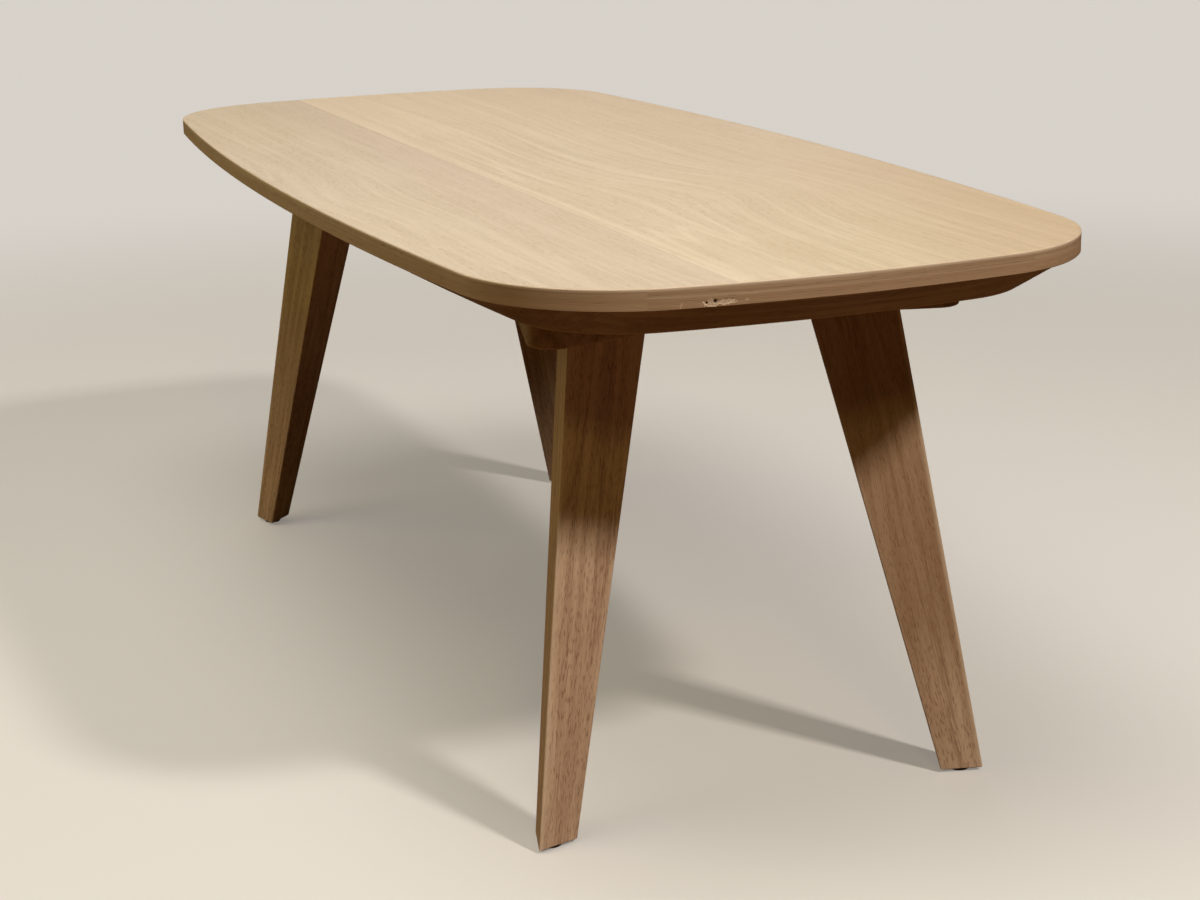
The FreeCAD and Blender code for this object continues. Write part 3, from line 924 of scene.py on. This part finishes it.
# Each pale mark has a start and an end, as (run along the edge, height), a half width, a share and a tone.
PALE_MARKS = (
    ((0.0, 0.3449), (0.058, 0.3441), 0.0006, 0.32, LINE_TONE),
    ((0.058, 0.3441), (0.235, 0.3443), 0.0006, 0.2, LINE_TONE),
    ((0.0172, 0.3388), (0.0180, 0.3412), 0.0005, 0.55, SCRATCH_TONE),
    ((0.0528, 0.3407), (0.0536, 0.3408), 0.0008, 0.5, SCRATCH_TONE),
)

oak_lipping = OakFinish(
    "oak_lipping",
    stored_grain,
    ((177, 146, 116), (157, 125, 95), (118, 88, 62)),
    figure={"Band_Width": 0.0022, "Pore_Length": 0.010, "Pore_Share": 0.55},
    sway=0.0008,
    reach=0.12,
    contrast=0.38,
    pore_depth=0.38,
    gloss=0.46,
    relief=0.00012,
)
run_along, edge_height, _ = split(oak_lipping.grain)
# The paler arris is partly rubbed wear and partly a painted highlight along the lit edge.
arris_rub_and_highlight = ramp(edge_height, ARRIS_RUB_AND_HIGHLIGHT_FROM, ARRIS_RUB_AND_HIGHLIGHT_TO)
oak_lipping.rub_and_highlight(arris_rub_and_highlight, cover=0.80, colour=(226, 202, 174), strength=0.65)
oak_lipping.tint(fade(edge_height, LAYER_LINE_Z - LAYER_SOFTNESS, LAYER_LINE_Z), (170, 130, 96), 0.25)
for start, end, half_width, share, tone in PALE_MARKS:
    start, end = Vector((*start, 0.0)), Vector((*end, 0.0))
    way = (end - start).normalized()
    here = join(run_along, edge_height, 0.0) - start
    limits = {"Value": calc_vector("DOT_PRODUCT", here, way), "Min": 0.0, "Max": (end - start).length}
    nearest = scaled(way, put(oak_lipping.tree, "ShaderNodeClamp", limits))
    off_mark = calc_vector("DISTANCE", here, nearest)
    oak_lipping.tint(ramp(off_mark, MARK_CORE * half_width, half_width, share, 0.0), tone)
chip_mask = stored_number(oak_lipping.tree, "chip")
oak_lipping.tint(chip_mask, (200, 172, 145), 0.9)
chip_rim = ramp(chip_mask, *CHIP_RIM_START) * fade(chip_mask, *CHIP_RIM_END)
oak_lipping.tint(chip_rim, (228, 200, 170), 0.7)
# The pits are painted near black: painted shade in the hollows.
oak_lipping.tint(stored_number(oak_lipping.tree, "pit"), (48, 32, 24), 0.97)
oak_lipping.roughness = calc("MULTIPLY_ADD", chip_mask, CHIP_ROUGHNESS, oak_lipping.roughness, clamp=True)
lipping_material = oak_lipping.done()
print("layer line at", LAYER_LINE_Z, "m, lipping finish has", len(oak_lipping.tree.nodes), "nodes")

# %% [markdown]
# Now the tree runs once for each length of lipping. Its inputs are set by the identifiers of its sockets, and
# the result is kept as a plain mesh. The right end gets close points, because of the chip, and the other three
# need fewer. Each new piece stands for the solid that it replaces.

# %% The four lippings
SHARP_FROM = math.radians(32)
WELD_DISTANCE = 1e-7
CLOSE_SPACING, WIDE_SPACING = 0.00035, 0.002
CHIP_DEPTH, PIT_DEPTH = 0.0003, 0.0011
CHIP_PLACES = {
    "First_Chip": (0.4659, -0.0799, 0.3405),
    "Second_Chip": (0.4668, -0.0726, 0.3407),
    "Small_Pit": (0.4657, -0.0831, 0.3406),
    "Large_Pit": (0.4661, -0.0785, 0.3411),
}
LIPPING_GRAIN_STEP = 1.7


def grow(name, base, tree, **values):
    """Run a geometry tree on a base mesh and keep what it makes as a plain mesh object at the origin."""
    source = add_object(name + "_source", base)
    rule = source.modifiers.new("rule", "NODES")
    rule.node_group = tree
    for item in tree.interface.items_tree:
        label = item.name.replace(" ", "_")
        if item.item_type == "SOCKET" and item.in_out == "INPUT" and label in values:
            rule[item.identifier] = values[label]
    made = bpy.data.meshes.new_from_object(source.evaluated_get(bpy.context.evaluated_depsgraph_get()))
    source.modifiers.remove(rule)
    bpy.data.objects.remove(source)
    made.name = name
    shell = bmesh.new()
    shell.from_mesh(made)
    bmesh.ops.remove_doubles(shell, verts=shell.verts, dist=WELD_DISTANCE)
    bmesh.ops.recalc_face_normals(shell, faces=shell.faces)
    shell.to_mesh(made)
    shell.free()
    made.shade_smooth()
    made.set_sharp_from_angle(angle=SHARP_FROM)
    return add_object(name, made)


def place_piece(piece, slot, *nodes):
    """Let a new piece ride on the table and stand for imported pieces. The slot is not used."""
    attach(piece, "root")
    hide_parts(*nodes)


def in_mm(lengths):
    """Lengths in metres as millimetres, for a print."""
    return [round(1000 * length, 2) for length in lengths]


for order, (side, points) in enumerate(lipping_paths.items()):
    chipped = side == "right_end"
    lipping = grow(
        "edge_lipping_" + side,
        wire("lipping_path", points, False),
        sweep,
        Section=section_object,
        Spacing=CLOSE_SPACING if chipped else WIDE_SPACING,
        Grain_Start=LIPPING_GRAIN_STEP * order,
        Chip_Depth=CHIP_DEPTH if chipped else 0.0,
        Pit_Depth=PIT_DEPTH if chipped else 0.0,
        Material=lipping_material,
        **CHIP_PLACES,
    )
    place_piece(lipping, "lipping", "lipping_" + side)
    low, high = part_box("lipping_" + side)
    print(lipping.name, len(lipping.data.polygons), "faces,", in_mm(lipping.dimensions), "mm")
    print("its solid is", in_mm(high - low), "mm")
bpy.data.objects.remove(section_object)

# %% [markdown]
# Under the edge, four bevelled rails lead in to the flat underside. Their wood is like the lipping, but painted
# darker, as painted shade on bevels that face down under the edge. Their grain runs the long way of each rail,
# so the end rails take the same finish with the coordinates turned. The flat underside is closed with a plain
# backing sheet.

# %% Bevelled rails and backing sheet
RAIL_TURNS = {"side": 0.0, "end": math.pi / 2}
RAILS = {"side": ("front", "back"), "end": ("left_end", "right_end")}

for kind, turn in RAIL_TURNS.items():
    rail = OakFinish(
        "oak_" + kind + "_rail",
        object_grain(turn, (0.21, 0.13, 0.0)),
        # Darker than the lipping: painted shade for the downward bevels.
        ((164, 130, 96), (136, 102, 71), (98, 69, 45)),
        figure={"Band_Width": 0.006, "Pore_Length": 0.009},
        sway=0.003,
        reach=0.3,
        contrast=0.34,
        pore_depth=0.6,
        gloss=0.5,
        relief=0.00012,
    )
    dress(rail.done(), *["bevel_rail_" + side for side in RAILS[kind]])

backing = OakFinish(
    "oak_backing",
    object_grain(0.0, (0.9, 0.45, 0.0)),
    ((188, 155, 121), (164, 130, 97), (124, 94, 66)),
    figure={"Band_Width": 0.008, "Pore_Length": 0.012, "Pore_Share": 0.4},
    sway=0.006,
    reach=0.5,
    contrast=0.4,
    pore_depth=0.5,
    gloss=0.58,
    relief=0.0001,
)
dress(backing.done(), "underside_backing")
print("rails and backing dressed")

# %% [markdown]
# A leg is the plainest rule on this table: an equilateral section that shrinks evenly from the block to the
# foot, while its middle moves out along the diagonal of the plan. The edges are eased to a small, even radius
# all the way down, which a simple scaling of the section would lose. So the tree works out each point by
# itself: which corner it belongs to, how far round the eased edge it is, and how far up the leg. It also
# stores grain coordinates along the slanted axis, because a leg is sawn with its grain along its own length,
# and a share of darker tone, given for each leg, that is nil at the foot and full from about a third of the way
# up.

# %% Geometry tree for a tapered leg
ARC_STEPS = 8
CORNER_POINTS = ARC_STEPS + 3
LEVELS = 40
SUPPORT = 0.0006
THIRD_TURN, QUARTER_TURN, SIXTH_TURN = (math.radians(turn) for turn in (120, 90, 60))
PALE_FOOT = (0.10, 0.34)

leg_rule, enter = new_group(
    "tapered_leg",
    "GeometryNodeTree",
    ["Geometry"],
    Geometry=GEOMETRY,
    Foot=NO_VECTOR,
    Head=NO_VECTOR,
    Foot_Side=0.0280,
    Head_Side=0.0573,
    Edge_Radius=0.0007,
    Foot_Chamfer=0.0006,
    Outward_Turn=0.0,
    Grain_Start=0.0,
    Wood_Tone=0.0,
    Material=MATERIAL,
)


def blend(share, first, second):
    """A number or vector part of the way from the first to the second."""
    kind, one, other, out = ("VECTOR", 4, 5, 1) if first.is_vector else ("FLOAT", 2, 3, 0)
    return put(share.tree, "ShaderNodeMix", {0: share, one: first, other: second}, out, data_type=kind)


def plan_arrow(angle):
    """A unit vector in plan."""
    return join(calc("COSINE", angle), calc("SINE", angle), 0.0)


index = put(leg_rule, "GeometryNodeInputIndex")
ring = put(leg_rule, "GeometryNodeCurvePrimitiveCircle", {"Resolution": 3 * CORNER_POINTS})
ring, (ring_index,) = capture(ring, step=index)
axis_values = {"Curve": put(leg_rule, "GeometryNodeCurvePrimitiveLine"), "Count": LEVELS}
axis = put(leg_rule, "GeometryNodeResampleCurve", axis_values, mode="COUNT")
axis, (level_index,) = capture(axis, level=index)

# Round the section: the corner, the turn of the eased edge there, and a support point on each side of it.
corner = calc("FLOOR", (ring_index + 0.5) / CORNER_POINTS)
step = ring_index - corner * CORNER_POINTS
corner_turn = corner * THIRD_TURN + enter["Outward Turn"]
arc_share = calc("DIVIDE", step - 1.0, ARC_STEPS, clamp=True)
arc_turn = corner_turn + (arc_share * THIRD_TURN - SIXTH_TURN)
before = calc("LESS_THAN", step, 0.5)
after = calc("GREATER_THAN", step, CORNER_POINTS - 1.5)
slide = (after - before) * SUPPORT

# Up the leg: a short first step for the chamfer of the foot, then even steps.
leg_length = calc_vector("DISTANCE", enter["Foot"], enter["Head"])
chamfer_share = enter["Foot Chamfer"] / leg_length
first_level = calc("MINIMUM", level_index, 1.0)
other_levels = calc("MAXIMUM", level_index - 1.0, 0.0) / (LEVELS - 2)
up_share = first_level * chamfer_share + other_levels * (1.0 - chamfer_share)
at_foot = calc("LESS_THAN", level_index, 0.5)

# The place of each point, and what it carries.
corner_reach = blend(up_share, enter["Foot Side"], enter["Head Side"]) / math.sqrt(3)
drawn_in = at_foot * enter["Foot Chamfer"] * 2.0
arc_reach = corner_reach - (enter["Edge Radius"] * 2.0 + drawn_in)
from_centre = scaled(plan_arrow(corner_turn), arc_reach) + scaled(plan_arrow(arc_turn), enter["Edge Radius"])
from_centre = from_centre + scaled(plan_arrow(arc_turn + QUARTER_TURN), slide)
leg_skin = set_place(swept(axis, ring), blend(up_share, enter["Foot"], enter["Head"]) + from_centre)
outward = plan_arrow(enter["Outward Turn"])
sideways = plan_arrow(enter["Outward Turn"] + QUARTER_TURN)
grain_at = join(
    up_share * leg_length + enter["Grain Start"],
    calc_vector("DOT_PRODUCT", from_centre, outward),
    calc_vector("DOT_PRODUCT", from_centre, sideways),
)
wood_tone = ramp(up_share, *PALE_FOOT) * enter["Wood Tone"]
leg_skin = store(leg_skin, grain=grain_at, leg_edge=corner_reach, wood_tone=wood_tone)
finish_tree(leg_skin, enter["Material"])

# %% [markdown]
# The legs are solid oak and show their pores and growth lines plainly. The finish reads the grain and the tone
# that each leg carries. How near a point is to one of the three edges follows from its place in the section,
# so the outer edge, which feet and brooms meet, gets a paler line, partly rubbed wear and partly a painted
# highlight on the eased arris, and the inner two a trace of it.

# %% Finish of the legs
LEG_FIGURE = {"Band_Width": 0.0065, "Pore_Length": 0.0050, "Pore_Width": 0.0007, "Pore_Share": 0.70}
EDGE_RUB_AND_HIGHLIGHT = (0.0010, 0.0034)
INNER_RUB_AND_HIGHLIGHT = 0.2

oak_leg = OakFinish(
    "oak_leg",
    stored_grain,
    ((212, 177, 145), (184, 147, 117), (138, 98, 72)),
    figure=LEG_FIGURE,
    sway=0.003,
    reach=0.16,
    contrast=0.31,
    pore_depth=0.78,
    gloss=0.48,
    relief=0.00015,
)
oak_leg.growth_lines(0.5, (146, 106, 77))
oak_leg.tint(stored_number(oak_leg.tree, "wood_tone"), (140, 101, 66))
_, leg_out, leg_aside = split(oak_leg.grain)
edge_reach = stored_number(oak_leg.tree, "leg_edge")


def edge_rim(turn):
    """A mask along one edge of the leg, given by its turn from the outer edge."""
    reach = leg_out * math.cos(turn) + leg_aside * math.sin(turn)
    return fade(edge_reach - reach, *EDGE_RUB_AND_HIGHLIGHT)


# The pale edge lines are partly rubbed wear and partly painted highlight.
leg_rim_wear_and_highlight = (edge_rim(THIRD_TURN) + edge_rim(2 * THIRD_TURN)) * INNER_RUB_AND_HIGHLIGHT + edge_rim(0)
oak_leg.rub_and_highlight(leg_rim_wear_and_highlight, cover=0.75, colour=(222, 194, 164), strength=0.6)
leg_material = oak_leg.done()
print("leg finish has", len(oak_leg.tree.nodes), "nodes")

# %% [markdown]
# One tree makes all four legs, each with its own foot, head and turn. The legs lean out along the diagonals,
# so a foot lies as far out in length as in width. Every leg starts at another place in the grain, as if sawn
# from another board. Each one is measured against the box of the solid that it replaces.

# %% The four legs
LEG_TURNS = {"front_right": -45, "back_right": 45, "front_left": -135, "back_left": 135}
UPPER_DARKENING = {"front_right": 0.0, "back_right": 0.55, "front_left": 0.15, "back_left": 0.3}
SPLAY_RUN = math.tan(math.radians(14.4)) / math.sqrt(2)
LEG_HEAD = Vector((0.300, 0.08357, 0.297))
LEG_FOOT_Z = 0.002
LEG_GRAIN_STEP = 0.83

for order, (corner_name, turn) in enumerate(LEG_TURNS.items(), 1):
    signs = Vector((1 if "right" in corner_name else -1, 1 if "back" in corner_name else -1))
    out = (LEG_HEAD.z - LEG_FOOT_Z) * SPLAY_RUN
    leg = grow(
        "tapered_leg_" + corner_name,
        bpy.data.meshes.new("leg_start"),
        leg_rule,
        Foot=(signs.x * (LEG_HEAD.x + out), signs.y * (LEG_HEAD.y + out), LEG_FOOT_Z),
        Head=(signs.x * LEG_HEAD.x, signs.y * LEG_HEAD.y, LEG_HEAD.z),
        Outward_Turn=math.radians(turn),
        Grain_Start=LEG_GRAIN_STEP * order,
        Wood_Tone=UPPER_DARKENING[corner_name],
        Material=leg_material,
    )
    place_piece(leg, "leg", "leg_" + corner_name)
    low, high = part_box("leg_" + corner_name)
    made_low = [min(v.co[k] for v in leg.data.vertices) for k in range(3)]
    made_high = [max(v.co[k] for v in leg.data.vertices) for k in range(3)]
    gap = max(abs(a - b) for a, b in zip(made_low + made_high, list(low) + list(high)))
    print(leg.name, len(leg.data.polygons), "faces, within", round(1000 * gap, 3), "mm of its solid's box")

# %% [markdown]
# Each leg meets the underside through a rounded, triangular block of the same wood, painted darker than the
# legs as painted shade under the top. The blocks keep the shape of their solids, and only need the finish.
# They are small offcuts, so their grain runs along the table.

# %% Leg blocks
block = OakFinish(
    "oak_block",
    object_grain(0.0, (0.37, 0.61, 0.2)),
    # Darker than the legs: painted shade under the top.
    ((172, 137, 103), (143, 108, 77), (102, 72, 47)),
    figure=LEG_FIGURE,
    sway=0.004,
    reach=0.2,
    contrast=0.34,
    pore_depth=0.65,
    gloss=0.52,
    relief=0.00015,
)
dress(block.done(), *["leg_block_" + corner_name for corner_name in LEG_TURNS])
print("blocks dressed")

# %% [markdown]
# From below, three countersunk screws show in each block. They are all alike, so one screw is modelled in a
# geometry tree and set on twelve points. A cone makes the head, a boolean cuts the cross for the driver, and a
# coil of small section makes the thread.

# %% Geometry tree for the screws
CORE_SHARE = 0.78
TIP_RADIUS = 0.0002
SHANK_SIDES, HEAD_SIDES = 24, 32
COIL_POINTS = 12

screw_rule, enter = new_group(
    "countersunk_screws",
    "GeometryNodeTree",
    ["Geometry"],
    Places=GEOMETRY,
    Length=0.034,
    Head_Radius=0.0045,
    Shank_Radius=0.00225,
    Tip_Length=0.006,
    Thread_Pitch=0.0018,
    Cross_Span=0.005,
    Cross_Width=0.0012,
    Cross_Depth=0.0016,
    Material=MATERIAL,
)


def lifted(geometry, z):
    """A geometry lifted by a height."""
    values = {"Geometry": geometry, "Translation": join(0.0, 0.0, z)}
    return put(geometry.tree, "GeometryNodeTransform", values)


def cone(low_radius, high_radius, height, sides=SHANK_SIDES):
    """A closed cone that stands on the origin."""
    values = {"Vertices": sides, "Radius Top": high_radius, "Radius Bottom": low_radius, "Depth": height}
    return put(screw_rule, "GeometryNodeMeshCone", values)


core_radius = enter["Shank Radius"] * CORE_SHARE
cone_height = enter["Head Radius"] - enter["Shank Radius"]
head = cone(enter["Head Radius"], enter["Shank Radius"], cone_height, HEAD_SIDES)
cross_height = enter["Cross Depth"] * 2.0
bars = []
for x_size, y_size in (("Cross Span", "Cross Width"), ("Cross Width", "Cross Span")):
    bar_size = join(enter[x_size], enter[y_size], cross_height)
    bars.append(put(screw_rule, "GeometryNodeMeshCube", {"Size": bar_size}))
cut_values = {"Mesh 1": head, "Mesh 2": bars}
cut_head = put(screw_rule, "GeometryNodeMeshBoolean", cut_values, operation="DIFFERENCE", solver="EXACT")
shank_height = enter["Length"] - cone_height - enter["Tip Length"]
shank = lifted(cone(core_radius, core_radius, shank_height), cone_height)
tip = lifted(cone(core_radius, TIP_RADIUS, enter["Tip Length"]), enter["Length"] - enter["Tip Length"])
coil_values = {
    "Resolution": COIL_POINTS,
    "Rotations": shank_height / enter["Thread Pitch"],
    "Start Radius": core_radius,
    "End Radius": core_radius,
    "Height": shank_height,
}
coil = put(screw_rule, "GeometryNodeCurveSpiral", coil_values)
ridge_values = {"Resolution": 3, "Radius": enter["Shank Radius"] - core_radius}
ridge = put(screw_rule, "GeometryNodeCurvePrimitiveCircle", ridge_values)
thread = lifted(swept(coil, ridge), cone_height)
one_screw = put(screw_rule, "GeometryNodeJoinGeometry", {0: [cut_head, shank, tip, thread]})
spots = put(screw_rule, "GeometryNodeMeshToPoints", {0: enter["Places"]})
set_on = put(screw_rule, "GeometryNodeInstanceOnPoints", {"Points": spots, "Instance": one_screw})
finish_tree(set_on, enter["Material"])

# %% [markdown]
# Metal and plastic are small here, but they show from below. Zinc plate on steel is a cool grey with cloudy
# crystals and fine scratches. Brass is warmer and smoother. The glides are dark nylon with scuffs from the
# floor.

# %% Finishes of the hardware
CLOUD_LIMITS = (0.35, 0.65)
CLOUD_ROUGHNESS = 0.08
SCRATCH_STRETCH = (1.0, 12.0, 12.0)
SCRATCH_BUMP = 0.4

scuffed, enter = new_group(
    "scuffed_surface",
    "ShaderNodeTree",
    ["Clouds", "Scratches", "Roughness"],
    Vector=VECTOR,
    Cloud_Scale=600.0,
    Scratch_Scale=700.0,
    Least_Roughness=0.25,
    Scratch_Roughness=0.2,
)
clouds = ramp(noise(enter["Vector"], enter["Cloud Scale"], 3.0), *CLOUD_LIMITS)
drawn_out = put(scuffed, "ShaderNodeMapping", {"Vector": enter["Vector"], "Scale": SCRATCH_STRETCH})
scratches = noise(drawn_out, enter["Scratch Scale"], 2.0)
smooth = clouds * CLOUD_ROUGHNESS + enter["Least Roughness"]
rough = calc("MULTIPLY_ADD", scratches, enter["Scratch Roughness"], smooth, clamp=True)
fill(scuffed, Clouds=clouds, Scratches=scratches, Roughness=rough)


def cloudy_finish(name, first, second, metallic, relief, **scuffs):
    """A finish with clouds of two tones, and fine scratches that change its gloss."""
    material, tree, shader = new_material(name)
    marks = use_group(tree, scuffed, Vector=object_place(tree), **scuffs)
    colour = mix_colour(marks["Clouds"], paint(*first), paint(*second))
    coat(shader, colour, marks["Roughness"], marks["Scratches"], relief, SCRATCH_BUMP)
    feed(shader, {"Metallic": metallic})
    return material


zinc = cloudy_finish(
    "zinc_plated_steel", (196, 192, 182), (168, 164, 154), metallic=1.0, relief=0.00003,
    Cloud_Scale=900.0, Scratch_Scale=900.0, Least_Roughness=0.26,
)
brass = cloudy_finish(
    "turned_brass", (206, 170, 96), (180, 142, 72), metallic=1.0, relief=0.00003, Least_Roughness=0.22
)
nylon = cloudy_finish(
    "dark_nylon", (46, 42, 38), (32, 29, 27), metallic=0.0, relief=0.00005,
    Cloud_Scale=400.0, Scratch_Scale=500.0, Least_Roughness=0.5, Scratch_Roughness=0.25,
)
dress(zinc, "leg_bolts", "leg_bolt_washers", "glide_nails")
dress(brass, "leg_inserts")
dress(nylon, *["foot_glide_" + corner_name for corner_name in LEG_TURNS])
print("hardware finishes:", [material.name for material in (zinc, brass, nylon)])

# %% [markdown]
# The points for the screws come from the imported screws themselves. The lowest ring of points of each packed
# screw is the rim of its head, and the middle of that ring is the place of a new screw.

# %% The twelve screws
LEVEL_SLACK = 1e-5
HEAD_REACH = 0.02

screw_low, screw_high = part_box("block_screws")
rims = []
for vertex in pieces["block_screws"].data.vertices:
    if vertex.co.z < screw_low.z + LEVEL_SLACK:
        near = [rim for rim in rims if (rim[0] - vertex.co).length < HEAD_REACH]
        if near:
            near[0].append(vertex.co.copy())
        else:
            rims.append([vertex.co.copy()])
screw_middles = [[(min(p[k] for p in rim) + max(p[k] for p in rim)) / 2 for k in range(3)] for rim in rims]
screw_points = bpy.data.meshes.new("screw_points")
screw_points.from_pydata(screw_middles, [], [])
screws = grow("block_screw_set", screw_points, screw_rule, Material=zinc)
place_piece(screws, "zinc_steel", "block_screws")
screw_top = max(v.co.z for v in screws.data.vertices)
print(len(rims), "screws,", len(screws.data.polygons), "faces")
print("screw tips at", round(screw_top, 4), "m, those of the solids at", round(screw_high.z, 4), "m")

# %% [markdown]
# The last pieces are out of sight: the core boards inside the top, and the beech dowels. They still get their
# own look, because someone may take the table apart. The core is pressed from chips, so it is a speckle of
# pale and brown flakes. A dowel has straight, fine grain along its length.

# %% Core boards and dowels
FLAKE_SCALE, ROUGH_SCALE = 420.0, 300.0
CORE_ROUGH = (0.2, 0.8, 0.7, 0.95)
CORE_RELIEF, CORE_BUMP = 0.0002, 0.5

core, core_tree, core_shader = new_material("chip_core_board")
core_place = object_place(core_tree)
flake_values = {"Vector": core_place, "Scale": FLAKE_SCALE}
flakes = add_node(core_tree, "ShaderNodeTexVoronoi", flake_values, feature="F1").outputs
flake_tone = split(Field(flakes["Color"]))[0]
core_colour = mix_colour(flake_tone, paint(206, 176, 132), paint(150, 116, 78))
core_rough = ramp(noise(core_place, ROUGH_SCALE, 2.0), *CORE_ROUGH)
coat(core_shader, core_colour, core_rough, Field(flakes["Distance"]), CORE_RELIEF, CORE_BUMP)
dress(core, "top_core_board", "under_core_board")


def upright_grain(tree):
    """Coordinates with the grain upright, as in a dowel."""
    x, y, z = split(object_place(tree))
    return join(z, x, y)


beech = OakFinish(
    "beech_dowel",
    upright_grain,
    ((218, 184, 144), (196, 160, 120), (160, 122, 86)),
    figure={"Band_Width": 0.002, "Pore_Length": 0.002, "Pore_Width": 0.0003, "Pore_Share": 0.3},
    sway=0.001,
    reach=0.1,
    contrast=0.36,
    pore_depth=0.5,
    gloss=0.6,
    relief=0.00006,
    spread=0.06,
)
dress(beech.done(), "leg_dowels")
print("core boards and dowels dressed")
